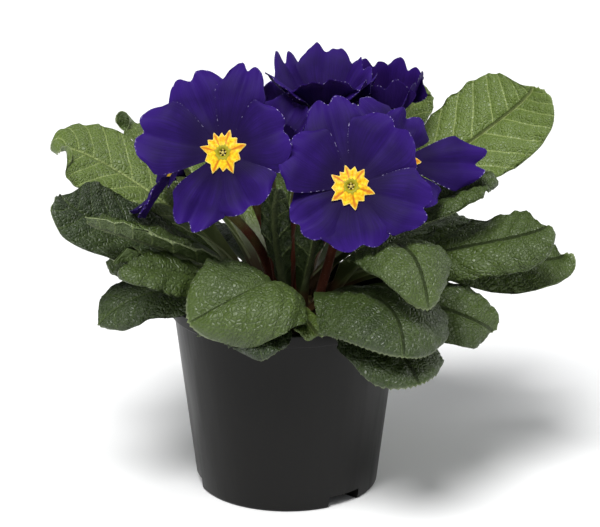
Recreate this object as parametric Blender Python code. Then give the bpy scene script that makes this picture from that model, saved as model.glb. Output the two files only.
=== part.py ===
"""Potted primrose: a rosette of crinkled leaves and violet blooms in a small black nursery pot.

The origin is the middle of the pot's underside, on the surface that the pot stands on. +Z is up and -Y is
the side that the two large open blooms face.
"""

import math
import random
from collections import namedtuple

import bmesh
import bpy
from mathutils import Matrix, Vector, noise

MM = 0.001  # lengths below are in millimetres times this, so that the model is in metres

# The pot, a thin-walled cone of black plastic.
POT_HEIGHT = 75.0 * MM
POT_RIM_RADIUS = 45.0 * MM
POT_RIM_BAND = 5.0 * MM
POT_BODY_RADIUS = 43.4 * MM  # just below the rim band
POT_FOOT_RADIUS = 35.0 * MM
POT_WALL = 1.2 * MM
POT_ROUNDING = 0.6 * MM  # at the lip and at the foot
POT_SEGMENTS = 36

# The three drain pockets, raised in the foot, each with a round hole in its ceiling.
POCKET_ANGLES = (-51, 69, 189)
POCKET_HALF_ANGLE = 12
POCKET_INNER_RADIUS = 26.0 * MM
POCKET_HEIGHT = 4.4 * MM
DRAIN_RADIUS = 2.5 * MM

# The soil, and the crown that stands in it and carries every leaf and stalk.
SOIL_TOP = 68.0 * MM
SOIL_SEGMENTS = 24
SOIL_LUMP = 1.3 * MM
SOIL_LUMP_PITCH = 7.0 * MM
SOIL_HOLE_DEPTH = 4.0 * MM  # of the straight part of the hole round the crown
SOIL_CLEARANCE = 1.0 * MM  # beside the walls of the drain pockets
CROWN_TOP = 72.0 * MM
CROWN_BOTTOM = 50.0 * MM
CROWN_RADIUS = 21.5 * MM
CROWN_ROOT_RADIUS = 12.0 * MM
CROWN_SHOULDER = 5.0 * MM  # how far below its top the crown is widest
SOCKET_DEPTH = 5.0 * MM
SOCKET_PITCH = 5.4 * MM
SOCKET_RADIUS = 2.75 * MM
SOCKET_EDGE = 2.7 * MM  # from the crown's edge to the middle of the outermost sockets
STEM_START = 0.6 * MM  # above the crown's top, where a stem begins to lean
GAP = 0.3 * MM  # between pieces that touch

# Leaves.
BLADE_THICKNESS = 0.7 * MM
FOOT_HALF_WIDTH = 1.5 * MM
FOOT_THICKNESS = 1.4 * MM
RIB_THICKNESS = 2.0 * MM
RIB_HALF_WIDTH = 1.2 * MM
LEAF_ROWS = 10
LEAF_COLUMNS = 5
ROW_CROWDING = 1.3  # draws the rows together towards the tip
ACROSS_EDGE = 0.6  # how far out the columns between the rib and the edge lie
CREST_SHARE = 0.60  # how far along the midrib its crest lies
STEM_RISE = 0.38  # how far the stem keeps its lean, as a share of the way to the crest
BLADE_START = 0.15  # how far along the midrib the blade starts and where it is widest
WIDEST_SHARE = 0.68
LEAF_END = 0.985
BLADE_POWER = 1.8  # how late the blade widens
TIP_POWER = 2.3  # how blunt the tip is
WING_WIDTH = 1.6 * MM
WING_SHARE = 0.3  # how far along the stem its wings reach their width
FOOT_FOLD = 55
CURL_POWER = 1.5
CURL_STEPS = 6
LEAF_WAVES = 2.6

# Blooms. Heights are along the bloom's own axis, measured from its face.
PETAL_THICKNESS = 0.7 * MM
PETAL_ROWS = 3
PETAL_COLUMNS = 4
PETAL_ROOT = 4.0 * MM
PETAL_NOTCH = 0.10  # depth of the notch in the tip, as a share of the length, and its half-width
PETAL_NOTCH_WIDTH = 0.20
PETAL_ROUNDING = 0.20  # how far the tip's corners are drawn in, as a share of the length
PETAL_CLAW = 0.28  # width at the root, as a share of the full width
PETAL_WIDEST = 0.72
PETAL_RIPPLE = 1.1 * MM
PETAL_SUNK = 0.1 * MM  # how far the petals' roots lie below the face
PETAL_STEP = 0.02 * MM  # between one petal's level and the next one's
HUB_RADIUS = 8.6 * MM
HUB_TOP = 0.5 * MM
HUB_BOTTOM = -1.3 * MM
TUBE_RADIUS = 1.6 * MM
TUBE_BOTTOM = -8.5 * MM
CALYX_MOUTH = -3.0 * MM
CALYX_BASE = -14.5 * MM
CALYX_RADIUS = 3.4 * MM
CALYX_TOOTH = 0.9 * MM
CALYX_LIP = 0.6 * MM  # how far below the calyx's mouth its bore opens
STALK_RADIUS = 1.8 * MM
STALK_SIDES = 10
STALK_STEPS = 6
EYE_POINT_RADIUS = 8.4 * MM
EYE_VALLEY_RADIUS = 5.9 * MM
EYE_THICKNESS = 0.7 * MM
THROAT_RADIUS = 2.8 * MM
THROAT_TOP_RADIUS = 2.2 * MM
THROAT_HEIGHT = 1.6 * MM

# foot is (degrees round the crown, distance from its middle); crest and tip are points of the midrib; lean
# is how far the stem tips outward where it leaves the crown. In degrees, roll turns the blade about its
# midrib, anticlockwise as seen from its tip, fold lifts both halves, and curls roll the right-hand and the
# left-hand edge down, as seen from the crown. wave is how far the edge ripples.
Leaf = namedtuple("Leaf", "name foot crest tip width lean roll fold curls wave")
LEAVES = (
    Leaf("leaf_centre_left", (255, 8), (-4, -21, 106), (-3, -26, 126), 12, 12, 0, 25, (10, 10), 0.4),
    Leaf("leaf_centre_right", (285, 10), (10, -22, 106), (12, -27, 124), 14, 12, 0, 25, (10, 10), 0.4),
    Leaf("leaf_left_high", (168, 11), (-62, 14, 119), (-87, 16, 128), 34, 20, -22, 10, (25, 30), 1.2),
    Leaf("leaf_left_back", (135, 9), (-44, 41, 120), (-61, 50, 125), 33, 15, 10, 10, (25, 25), 0.8),
    Leaf("leaf_left_broad", (186, 14), (-60, -14, 105), (-84, -17, 121), 31, 25, -38, 12, (20, 40), 1.5),
    Leaf("leaf_left_channel", (204, 10), (-50, -32, 107), (-73, -36, 117), 15, 25, 0, 40, (10, 10), 0.8),
    Leaf("leaf_left_rolled", (220, 15), (-43, -38, 98), (-59, -42, 103), 22, 30, -20, 10, (20, 90), 0.8),
    Leaf("leaf_left_low", (205, 19), (-47, -20, 84), (-71, -24, 72), 26, 55, -15, 5, (20, 80), 1.2),
    Leaf("leaf_front_left", (250, 11), (-7, -43, 96), (-36, -54, 84), 49, 35, -10, 5, (30, 80), 1.5),
    Leaf("leaf_front_left_low", (246, 17), (-15, -46, 80), (-20, -57, 75), 36, 50, 0, 5, (40, 40), 1.0),
    Leaf("leaf_front_small", (278, 17), (8, -41, 79), (12, -48, 76), 12, 50, 0, 5, (40, 40), 0.6),
    Leaf("leaf_front_right", (294, 14), (32, -46, 91), (42, -72, 77), 56, 40, 0, 5, (60, 60), 1.0),
    Leaf("leaf_front_right_high", (350, 13), (39, -39, 109), (51, -66, 93), 36, 32, 0, 5, (60, 60), 1.0),
    Leaf("leaf_front_right_low", (316, 17), (36, -44, 77), (48, -66, 64), 40, 50, 0, 5, (50, 50), 1.2),
    Leaf("leaf_right_low", (338, 18), (57, -24, 79), (77, -27, 70), 26, 50, 32, 5, (50, 30), 1.2),
    Leaf("leaf_right_arched", (2, 11), (68, -12, 99), (98, -14, 108), 32, 35, 20, 5, (90, 20), 1.2),
    Leaf("leaf_right_level", (18, 14), (80, 8, 86), (106, 8, 89), 30, 45, 20, 5, (50, 50), 1.2),
    Leaf("leaf_right_high", (36, 12), (68, 28, 126), (95, 36, 148), 42, 18, 34, 10, (25, 25), 1.4),
    Leaf("leaf_back_right_high", (60, 11), (40, 50, 122), (50, 58, 146), 24, 15, -10, 10, (30, 30), 1.0),
    Leaf("leaf_right_inner", (0, 5), (56, -8, 115), (75, -10, 120), 24, 20, 10, 20, (60, 30), 1.0),
    Leaf("leaf_back_right_low", (38, 17), (56, 44, 89), (74, 58, 84), 36, 45, 0, 5, (50, 50), 1.2),
    Leaf("leaf_back_low", (64, 17), (30, 60, 82), (38, 82, 74), 38, 45, 0, 5, (50, 50), 1.2),
    Leaf("leaf_back_left_low", (92, 17), (-2, 63, 89), (-2, 86, 83), 36, 45, 0, 5, (50, 50), 1.2),
    Leaf("leaf_far_back_left_low", (118, 17), (-31, 54, 83), (-42, 74, 76), 36, 45, 0, 5, (50, 50), 1.2),
    Leaf("leaf_far_left_low", (142, 17), (-48, 37, 92), (-66, 50, 87), 34, 45, 0, 5, (50, 50), 1.2),
    Leaf("leaf_left_back_low", (166, 17), (-50, 15, 85), (-70, 20, 82), 28, 45, 0, 5, (50, 50), 1.2),
    Leaf("leaf_back_right_arched", (79, 14), (34, 52, 108), (46, 74, 108), 34, 28, 0, 5, (50, 50), 1.2),
    Leaf("leaf_back_arched", (90, 11), (2, 58, 105), (2, 82, 106), 36, 28, 0, 5, (50, 50), 1.2),
    Leaf("leaf_back_left_arched", (122, 11), (-28, 48, 110), (-42, 68, 112), 34, 28, 0, 5, (50, 50), 1.2),
)

# angle turns round the bloom's face, length runs from its middle to the petal's tip; lift raises the whole
# petal and twist its anticlockwise edge, so that neighbours lie over and under each other.
Petal = namedtuple("Petal", "angle length width lift twist")

# centre is the middle of the face; heading and rise are where the face looks, in degrees; cup is how far
# the petals stand up from the face, and press is (towards, more), where neighbours press them up further;
# foot is the stalk's place in the crown, as for a leaf, and lean its tip outward there.
Bloom = namedtuple("Bloom", "name centre heading rise cup press foot lean petals seed")


def even_petals(count, spin, length, width):
    """Petals spaced evenly, each lying over the next one round."""
    step = 360 / count
    return tuple(Petal(spin + step * i, length, width, 0.0, 1.3) for i in range(count))


LEFT_PETALS = (
    Petal(76, 34, 19, 0.5, 0.3),
    Petal(22, 26, 28, 1.6, 0.5),
    Petal(-60, 24, 28, 0.4, 1.0),
    Petal(-114, 31, 22, -1.0, 0.9),
    Petal(168, 33, 28, 0.8, 0.4),
    Petal(118, 32, 28, -0.8, 0.0),
)
RIGHT_PETALS = (
    Petal(148, 28, 27, 1.0, 0.4),
    Petal(104, 35, 24, -0.9, 0.0),
    Petal(52, 30, 30, 0.2, 0.9),
    Petal(-18, 30, 26, 1.4, 0.6),
    Petal(-80, 24, 29, 0.0, 0.9),
    Petal(-144, 25, 23, -1.2, 0.9),
)
FAR_RIGHT_PETALS = (
    Petal(-16, 33, 21, 1.0, 0.8),
    Petal(60, 20, 22, 0.0, 0.9),
    Petal(112, 28, 24, -0.5, 0.9),
    Petal(190, 19, 22, 0.0, 0.9),
    Petal(270, 22, 24, 0.5, 0.9),
)
TOP_PETALS = (
    Petal(90, 29, 25, 0.6, 0.3),
    Petal(30, 26, 24, 0.0, 1.2),
    Petal(-30, 25, 24, 0.0, 1.2),
    Petal(-90, 26, 27, 0.8, 0.6),
    Petal(-152, 28, 25, 0.0, -1.0),
    Petal(148, 28, 25, 0.0, 1.0),
)
BLOOMS = (
    Bloom("bloom_left", (-23, -36, 143), -98, 22, 4, (0, 0), (245, 6), 0, LEFT_PETALS, 1),
    Bloom("bloom_right", (23.5, -42, 132), -88, 28, 4, (0, 0), (322, 14), 16, RIGHT_PETALS, 2),
    Bloom("bloom_top", (14, 13, 148.5), -92, 96, 42, (90, 30), (0, 0), 0, TOP_PETALS, 3),
    Bloom("bloom_middle", (-6, -8, 141), -90, 76, 50, (-90, 18), (150, 3), 0, even_petals(5, -90, 20, 23), 4),
    Bloom("bloom_back_right", (38.5, 29, 144.5), -70, 82, 74, (190, 8), (60, 5), 0, even_petals(5, 100, 21, 23), 5),
    Bloom("bloom_far_right", (42, -15, 134), -60, 38, 10, (0, 0), (345, 6), 0, FAR_RIGHT_PETALS, 6),
    Bloom("bloom_far_left", (-42, -10, 128), 172, 36, 12, (0, 0), (195, 7), 0, even_petals(5, 40, 24, 25), 7),
    Bloom("bloom_back", (4, 48, 130), 92, 36, 10, (0, 0), (90, 5), 0, even_petals(5, 0, 26, 27), 8),
)

MATERIALS = {
    "pot": ((0.014, 0.013, 0.012), 0.42),
    "soil": ((0.035, 0.022, 0.014), 0.95),
    "crown": ((0.16, 0.13, 0.05), 0.8),
    "leaf": ((0.075, 0.13, 0.025), 0.6),
    "petal": ((0.055, 0.012, 0.24), 0.55),
    "eye": ((0.80, 0.56, 0.03), 0.5),
    "stalk": ((0.13, 0.07, 0.03), 0.6),
}


def clear_scene():
    for obj in list(bpy.data.objects):
        bpy.data.objects.remove(obj)


def material(kind):
    """The finish of a kind of piece, made once and shared."""
    found = bpy.data.materials.get(kind)
    if found:
        return found
    colour, roughness = MATERIALS[kind]
    made = bpy.data.materials.new(kind)
    made.use_nodes = True
    shader = made.node_tree.nodes["Principled BSDF"]
    shader.inputs["Base Color"].default_value = (*colour, 1)
    shader.inputs["Roughness"].default_value = roughness
    shader.inputs["Metallic"].default_value = 0
    return made


def add_object(name, shape, kind, smooth_angle=35):
    """Turns a bmesh into a named object with its material."""
    bmesh.ops.recalc_face_normals(shape, faces=shape.faces)
    if shape.calc_volume(signed=True) < 0:
        bmesh.ops.reverse_faces(shape, faces=shape.faces)
    mesh = bpy.data.meshes.new(name)
    shape.to_mesh(mesh)
    shape.free()
    mesh.shade_smooth()
    mesh.set_sharp_from_angle(angle=math.radians(smooth_angle))
    mesh.materials.append(material(kind))
    obj = bpy.data.objects.new(name, mesh)
    bpy.context.scene.collection.objects.link(obj)
    return obj


def combine(target, others, operation):
    """Applies one Boolean of the target with a collection of others, which are then removed."""
    group = bpy.data.collections.new(target.name + "_group")
    bpy.context.scene.collection.children.link(group)
    for other in others:
        bpy.context.scene.collection.objects.unlink(other)
        group.objects.link(other)
    modifier = target.modifiers.new(operation.title(), "BOOLEAN")
    modifier.operation = operation
    modifier.operand_type = "COLLECTION"
    modifier.collection = group
    bpy.context.view_layer.update()
    evaluated = target.evaluated_get(bpy.context.evaluated_depsgraph_get())
    mesh = bpy.data.meshes.new_from_object(evaluated)
    target.modifiers.remove(modifier)
    target.data = mesh
    for other in others:
        bpy.data.objects.remove(other)
    bpy.data.collections.remove(group)


def turned(profile, segments, angle=360.0, start=0.0):
    """A solid turned about the Z axis from an outline of (radius, height) points."""
    shape = bmesh.new()
    corners = [shape.verts.new((radius, 0, height)) for radius, height in profile]
    section = shape.faces.new(corners)
    turn = Matrix.Rotation(math.radians(start), 4, "Z")
    bmesh.ops.transform(shape, matrix=turn, verts=shape.verts)
    whole = angle >= 360
    bmesh.ops.spin(
        shape,
        geom=[section, *section.edges, *section.verts],
        axis=(0, 0, 1),
        cent=(0, 0, 0),
        angle=math.radians(angle),
        steps=segments,
        use_merge=whole,
    )
    bmesh.ops.remove_doubles(shape, verts=shape.verts, dist=0.001 * MM)
    if whole:
        inner = [face for face in shape.faces if all(len(edge.link_faces) > 2 for edge in face.edges)]
        bmesh.ops.delete(shape, geom=inner, context="FACES_ONLY")
    return shape


def sector(inner, outer, bottom, top, middle, half_angle):
    """A block bent round the Z axis."""
    outline = ((inner, bottom), (outer, bottom), (outer, top), (inner, top))
    return turned(outline, 5, 2 * half_angle, middle - half_angle)


def lofted(rings):
    """A closed solid through rings of points, capped at both ends."""
    shape = bmesh.new()
    loops = []
    for ring in rings:
        corners = [shape.verts.new(point) for point in ring]
        pairs = zip(corners, corners[1:] + corners[:1])
        loops.append((corners, [shape.edges.new(pair) for pair in pairs]))
    for (_, lower), (_, upper) in zip(loops, loops[1:]):
        bmesh.ops.bridge_loops(shape, edges=lower + upper)
    for corners, _ in (loops[0], loops[-1]):
        shape.faces.new(corners)
    return shape


def smooth_step(low, high, value):
    share = min(1.0, max(0.0, (value - low) / (high - low)))
    return share * share * (3 - 2 * share)


def mix(first, second, share):
    return first + (second - first) * share


def polar(degrees, radius, height=0.0):
    angle = math.radians(degrees)
    return Vector((radius * math.cos(angle), radius * math.sin(angle), height))


def curve_point(controls, share):
    """A point of the cubic curve with these four controls, and its direction there."""
    a, b, c, d = controls
    rest = 1 - share
    point = a * rest**3 + b * 3 * rest**2 * share + c * 3 * rest * share**2 + d * share**3
    slope = (b - a) * rest**2 + (c - b) * 2 * rest * share + (d - c) * share**2
    return point, slope.normalized()


def socket_places():
    """Spots on the crown in a honeycomb, far enough apart for a stem in each."""
    places = []
    reach = CROWN_RADIUS - SOCKET_EDGE
    row_pitch = SOCKET_PITCH * math.sqrt(0.75)
    rows = int(reach / row_pitch) + 1
    for row in range(-rows, rows + 1):
        for column in range(-rows - 1, rows + 2):
            x = (column + (row % 2) * 0.5) * SOCKET_PITCH
            y = row * row_pitch
            if math.hypot(x, y) < reach:
                places.append(Vector((x, y, CROWN_TOP)))
    return places


def take_sockets():
    """Gives each stalk and leaf, in turn, the free spot nearest the one that it wants."""
    free = socket_places()
    taken = {}
    for stem in (*BLOOMS, *LEAVES):
        wanted = polar(stem.foot[0], stem.foot[1] * MM, CROWN_TOP)
        spot = min(free, key=lambda place: (place - wanted).length)
        free.remove(spot)
        taken[stem.name] = spot
    return taken


def make_pot():
    inner_top = POT_BODY_RADIUS - POT_WALL
    inner_foot = POT_FOOT_RADIUS - POT_WALL
    band = POT_HEIGHT - POT_RIM_BAND
    profile = (
        (0, 0),
        (POT_FOOT_RADIUS - 2 * POT_ROUNDING, 0),
        (POT_FOOT_RADIUS, 2 * POT_ROUNDING),
        (POT_BODY_RADIUS, band),
        (POT_RIM_RADIUS, band + POT_ROUNDING),
        (POT_RIM_RADIUS, POT_HEIGHT - POT_ROUNDING),
        (POT_RIM_RADIUS - POT_ROUNDING, POT_HEIGHT),
        (inner_top, POT_HEIGHT),
        (inner_top, band),
        (inner_foot, POT_WALL),
        (0, POT_WALL),
    )
    pot = add_object("pot", turned(profile, POT_SEGMENTS), "pot")
    ceiling = POCKET_HEIGHT + POT_WALL
    inner = POCKET_INNER_RADIUS
    sunk = 0.3 * POT_WALL  # how deep the pockets' walls reach into those of the pot
    in_wall = POT_FOOT_RADIUS - sunk
    past_wall = POT_RIM_RADIUS
    side = math.degrees(POT_WALL / POT_FOOT_RADIUS)
    shells, hollows = [], []
    for angle in POCKET_ANGLES:
        shell = sector(inner - POT_WALL, in_wall, sunk, ceiling, angle, POCKET_HALF_ANGLE + side)
        shells.append(add_object("shell", shell, "pot"))
        hollow = sector(inner, past_wall, -POT_WALL, POCKET_HEIGHT, angle, POCKET_HALF_ANGLE)
        hollows.append(add_object("hollow", hollow, "pot"))
        drain = bmesh.new()
        spot = Matrix.Translation(polar(angle, (inner + POT_FOOT_RADIUS) / 2, ceiling))
        bmesh.ops.create_cone(
            drain,
            cap_ends=True,
            segments=12,
            radius1=DRAIN_RADIUS,
            radius2=DRAIN_RADIUS,
            depth=4 * POT_WALL,
            matrix=spot,
        )
        hollows.append(add_object("drain", drain, "pot"))
    combine(pot, shells, "UNION")
    combine(pot, hollows, "DIFFERENCE")


def make_soil():
    """Potting soil that fills the pot, with a lumpy top and a plain hole for the crown."""
    foot = 2 * POT_ROUNDING
    slope = (POT_BODY_RADIUS - POT_FOOT_RADIUS) / (POT_HEIGHT - POT_RIM_BAND - foot)

    def fill_radius(height):
        return POT_FOOT_RADIUS + slope * (height - foot) - POT_WALL - 2 * GAP

    bottom = POT_WALL + GAP
    hole_radius = CROWN_RADIUS + GAP
    hole_floor = CROWN_BOTTOM - GAP
    edge = fill_radius(SOIL_TOP)
    top = [mix(edge, hole_radius, share) for share in (0, 0.25, 0.5, 0.75, 1)]
    profile = [(0, bottom), (fill_radius(bottom), bottom)]
    profile += [(radius, SOIL_TOP) for radius in top]
    profile += [(hole_radius, SOIL_TOP - SOIL_HOLE_DEPTH)]
    profile += [(CROWN_ROOT_RADIUS + GAP, hole_floor), (0, hole_floor)]
    shape = turned(profile, SOIL_SEGMENTS)
    for vert in shape.verts:
        radius = math.hypot(vert.co.x, vert.co.y)
        on_top = vert.co.z > SOIL_TOP - 0.1 * MM and hole_radius + 1 * MM < radius < edge - 1 * MM
        if on_top:
            vert.co.z += SOIL_LUMP * noise.noise(vert.co / SOIL_LUMP_PITCH)
    soil = add_object("soil", shape, "soil")
    side = math.degrees((POT_WALL + SOIL_CLEARANCE) / POCKET_INNER_RADIUS)
    pockets = []
    for angle in POCKET_ANGLES:
        room = sector(
            POCKET_INNER_RADIUS - POT_WALL - GAP,
            POT_RIM_RADIUS,
            0,
            POCKET_HEIGHT + POT_WALL + GAP,
            angle,
            POCKET_HALF_ANGLE + side,
        )
        pockets.append(add_object("room", room, "soil"))
    combine(soil, pockets, "DIFFERENCE")


def make_crown(sockets):
    """The short stock that the leaves and stalks grow from, with a socket for the foot of each."""
    shoulder = CROWN_TOP - CROWN_SHOULDER
    profile = (
        (0, CROWN_BOTTOM),
        (CROWN_ROOT_RADIUS, CROWN_BOTTOM),
        (CROWN_RADIUS, shoulder - 2 * MM),
        (CROWN_RADIUS, shoulder),
        (CROWN_RADIUS - 1.5 * MM, CROWN_TOP - 1 * MM),
        (0, CROWN_TOP),
    )
    crown = add_object("crown", turned(profile, SOIL_SEGMENTS), "crown")
    cutters = []
    for spot in sockets.values():
        hole = bmesh.new()
        below = SOCKET_DEPTH + SOCKET_RADIUS
        place = Matrix.Translation(spot) @ Matrix.Rotation(math.radians(30), 4, "Z")
        bmesh.ops.create_cone(
            hole,
            cap_ends=True,
            segments=6,
            radius1=SOCKET_RADIUS,
            radius2=SOCKET_RADIUS,
            depth=2 * below,
            matrix=place,
        )
        cutters.append(add_object("socket", hole, "crown"))
    combine(crown, cutters, "DIFFERENCE")


def leaf_curve(leaf, exit_point):
    """Controls of the midrib: out of the crown at its lean, over its crest and on to the tip."""
    crest = Vector(leaf.crest) * MM
    tip = Vector(leaf.tip) * MM
    lean = math.radians(leaf.lean)
    rise = polar(leaf.foot[0], math.sin(lean), math.cos(lean))
    first = exit_point + rise * (crest - exit_point).length * STEM_RISE
    s = CREST_SHARE
    r = 1 - s
    second = (crest - exit_point * r**3 - first * 3 * r**2 * s - tip * s**3) / (3 * r * s**2)
    return exit_point, first, second, tip


def leaf_half_width(leaf, share):
    """A winged stem that widens to a spoon-shaped blade."""
    full = leaf.width * MM / 2
    if share < WIDEST_SHARE:
        wing = FOOT_HALF_WIDTH + WING_WIDTH * smooth_step(0.0, WING_SHARE, share)
        grown = max(0.0, share - BLADE_START) / (WIDEST_SHARE - BLADE_START)
        return mix(wing, full, math.sin(math.pi / 2 * grown) ** BLADE_POWER)
    past = (share - WIDEST_SHARE) / (1 - WIDEST_SHARE)
    return full * math.sqrt(1 - past**TIP_POWER)


def leaf_point(leaf, controls, share, across):
    """A point of the leaf's upper face and the normal there; across runs from -1 to 1."""
    point, along = curve_point(controls, share)
    if share == 0:
        along = Vector((0, 0, 1))
    reach = controls[3] - controls[0]
    side = Vector((-reach.y, reach.x, 0)).normalized()
    side = (side - along * side.dot(along)).normalized()
    up = along.cross(side)
    blade = smooth_step(BLADE_START, CREST_SHARE - 0.05, share)
    turn = Matrix.Rotation(math.radians(leaf.roll) * blade, 3, along)
    side, up = turn @ side, turn @ up
    fold = math.radians(mix(FOOT_FOLD, leaf.fold, smooth_step(0.0, CREST_SHARE - 0.05, share)))
    curl = math.radians(leaf.curls[1] if across > 0 else leaf.curls[0]) * blade
    half = leaf_half_width(leaf, share)
    out = lift = 0.0
    for step in range(CURL_STEPS):
        angle = fold - curl * (abs(across) * (step + 0.5) / CURL_STEPS) ** CURL_POWER
        out += math.cos(angle) / CURL_STEPS
        lift += math.sin(angle) / CURL_STEPS
    angle = fold - curl * abs(across) ** CURL_POWER
    sign = 1 if across > 0 else -1
    phase = len(leaf.name) + leaf.width + 1.4 * sign
    ripple = math.sin(2 * math.pi * LEAF_WAVES * share + phase) * leaf.wave * MM * blade * across**2
    point = point + side * (across * half * out) + up * (abs(across) * half * lift + ripple)
    normal = up * math.cos(angle) - side * (sign * math.sin(angle))
    return point, normal.normalized()


def make_leaf(leaf, spot):
    """One leaf: a winged stem in its socket, and a thin blade with a thicker midrib."""
    controls = leaf_curve(leaf, spot + Vector((0, 0, STEM_START)))
    shape = bmesh.new()
    bmesh.ops.create_grid(shape, x_segments=LEAF_COLUMNS, y_segments=LEAF_ROWS, size=1)
    bmesh.ops.triangulate(shape, faces=shape.faces)
    normals = {}
    thick = {}
    for vert in shape.verts:
        row = round((vert.co.y + 1) / 2 * LEAF_ROWS)
        column = round((vert.co.x + 1) / 2 * LEAF_COLUMNS)
        left = 1 - max(0.0, (row - 1) / (LEAF_ROWS - 1))
        share = LEAF_END * (1 - left**ROW_CROWDING)
        rib = min(0.7 * ACROSS_EDGE, RIB_HALF_WIDTH / leaf_half_width(leaf, share))
        across = (-1, -ACROSS_EDGE, -rib, rib, ACROSS_EDGE, 1)[column]
        point, normal = leaf_point(leaf, controls, share, across)
        if row == 0:
            point.z -= SOCKET_DEPTH
        rib_root = mix(FOOT_THICKNESS, RIB_THICKNESS, smooth_step(0.0, BLADE_START, share))
        rib_thickness = mix(rib_root, BLADE_THICKNESS, share)
        wing_thickness = mix(FOOT_THICKNESS, BLADE_THICKNESS, smooth_step(0.0, WING_SHARE, share))
        vert.co = point
        normals[vert.index] = normal
        thick[vert.index] = rib_thickness if abs(across) == rib else wing_thickness
    order = shape.verts.layers.int.new("order")
    for vert in shape.verts:
        vert[order] = vert.index
    under = bmesh.ops.extrude_face_region(shape, geom=shape.faces[:])
    for item in under["geom"]:
        if isinstance(item, bmesh.types.BMVert):
            item.co -= normals[item[order]] * thick[item[order]]
    add_object(leaf.name, shape, "leaf")


def bloom_frame(bloom):
    """The bloom's own axes: X to the right as seen from the front, Y up the face and Z out of it."""
    heading = math.radians(bloom.heading)
    rise = math.radians(bloom.rise)
    face = Vector((math.cos(heading) * math.cos(rise), math.sin(heading) * math.cos(rise), math.sin(rise)))
    right = Vector((-math.sin(heading), math.cos(heading), 0))
    up = face.cross(right)
    turn = Matrix((right, up, face)).transposed().to_4x4()
    return Matrix.Translation(Vector(bloom.centre) * MM) @ turn


def petal_point(bloom, petal, share, across):
    """A point of the petal's upper face, in the bloom's own axes."""
    notch = PETAL_NOTCH * math.exp(-((across / PETAL_NOTCH_WIDTH) ** 2)) * share**5
    round_off = PETAL_ROUNDING * abs(across) ** 2.6 * share**2
    radius = PETAL_ROOT + (petal.length * MM - PETAL_ROOT) * share * (1 - notch - round_off)
    widened = math.sin(math.pi / 2 * min(1.0, share / PETAL_WIDEST)) ** 1.2
    narrowed = 1 - 0.18 * smooth_step(0.7, 1.0, share)
    half = petal.width * MM / 2 * mix(PETAL_CLAW, 1.0, widened) * narrowed
    grown = smooth_step(0.0, 0.75, share)
    phase = random.Random(bloom.seed * 31 + round(petal.angle)).uniform(0, 2 * math.pi)
    ripple = PETAL_RIPPLE * math.sin(2.3 * math.pi * across + phase) * share**3
    pressed = max(0.0, math.cos(math.radians(petal.angle - bloom.press[0])))
    cup = math.radians(bloom.cup + bloom.press[1] * pressed)
    free = max(0.0, radius - HUB_RADIUS)
    drawn = radius - free * (1 - math.cos(cup))
    height = free * math.sin(cup) + (petal.lift + petal.twist * across) * MM * grown + ripple
    flat = Matrix.Rotation(math.radians(petal.angle), 3, "Z") @ Vector((drawn, across * half, 0))
    return Vector((flat.x, flat.y, height - PETAL_SUNK))


def make_petals(bloom, frame):
    """The corolla: petals fused to a hub, with the tube that stands in the calyx."""
    hub_profile = (
        (0, TUBE_BOTTOM),
        (TUBE_RADIUS, TUBE_BOTTOM),
        (TUBE_RADIUS, 2 * HUB_BOTTOM),
        (HUB_RADIUS, HUB_BOTTOM * 0.5),
        (HUB_RADIUS, HUB_TOP),
        (0, HUB_TOP),
    )
    hub = add_object(bloom.name + "_petals", turned(hub_profile, 12), "petal")
    blades = []
    for number, petal in enumerate(bloom.petals):
        shape = bmesh.new()
        bmesh.ops.create_grid(shape, x_segments=PETAL_COLUMNS, y_segments=PETAL_ROWS, size=1)
        bmesh.ops.triangulate(shape, faces=shape.faces)
        sink = Vector((0, 0, PETAL_STEP * number))
        hub_edge = (HUB_RADIUS - PETAL_ROOT) / (petal.length * MM - PETAL_ROOT)
        shares = (0.0, hub_edge, mix(hub_edge, 1.0, 0.5), 1.0)
        for vert in shape.verts:
            row = round((vert.co.y + 1) / 2 * PETAL_ROWS)
            vert.co = petal_point(bloom, petal, shares[row], vert.co.x) - sink
        under = bmesh.ops.extrude_face_region(shape, geom=shape.faces[:])
        below = [item for item in under["geom"] if isinstance(item, bmesh.types.BMVert)]
        bmesh.ops.translate(shape, verts=below, vec=(0, 0, -PETAL_THICKNESS))
        blades.append(add_object("blade", shape, "petal"))
    combine(hub, blades, "UNION")
    hub.data.transform(frame)


def make_eye(bloom, frame):
    """The star-shaped yellow eye, with the raised ring of its throat."""
    steps = 4 * len(bloom.petals)  # two points and two valleys to each petal
    bottom = HUB_TOP + GAP

    def ring(point_radius, valley_radius, height):
        corners = []
        for step in range(steps):
            angle = bloom.petals[0].angle + 360 * (step + 0.5) / steps
            radius = point_radius if step % 2 == 0 else valley_radius
            corners.append(polar(angle, radius, height))
        return corners

    rings = (
        ring(EYE_POINT_RADIUS, EYE_VALLEY_RADIUS, bottom),
        ring(EYE_POINT_RADIUS, EYE_VALLEY_RADIUS, bottom + 0.6 * EYE_THICKNESS),
        ring(THROAT_RADIUS, THROAT_RADIUS, bottom + EYE_THICKNESS),
        ring(THROAT_TOP_RADIUS, THROAT_TOP_RADIUS, bottom + THROAT_HEIGHT),
    )
    shape = lofted(rings)
    bmesh.ops.transform(shape, matrix=frame, verts=shape.verts)
    add_object(bloom.name + "_eye", shape, "eye")


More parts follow.
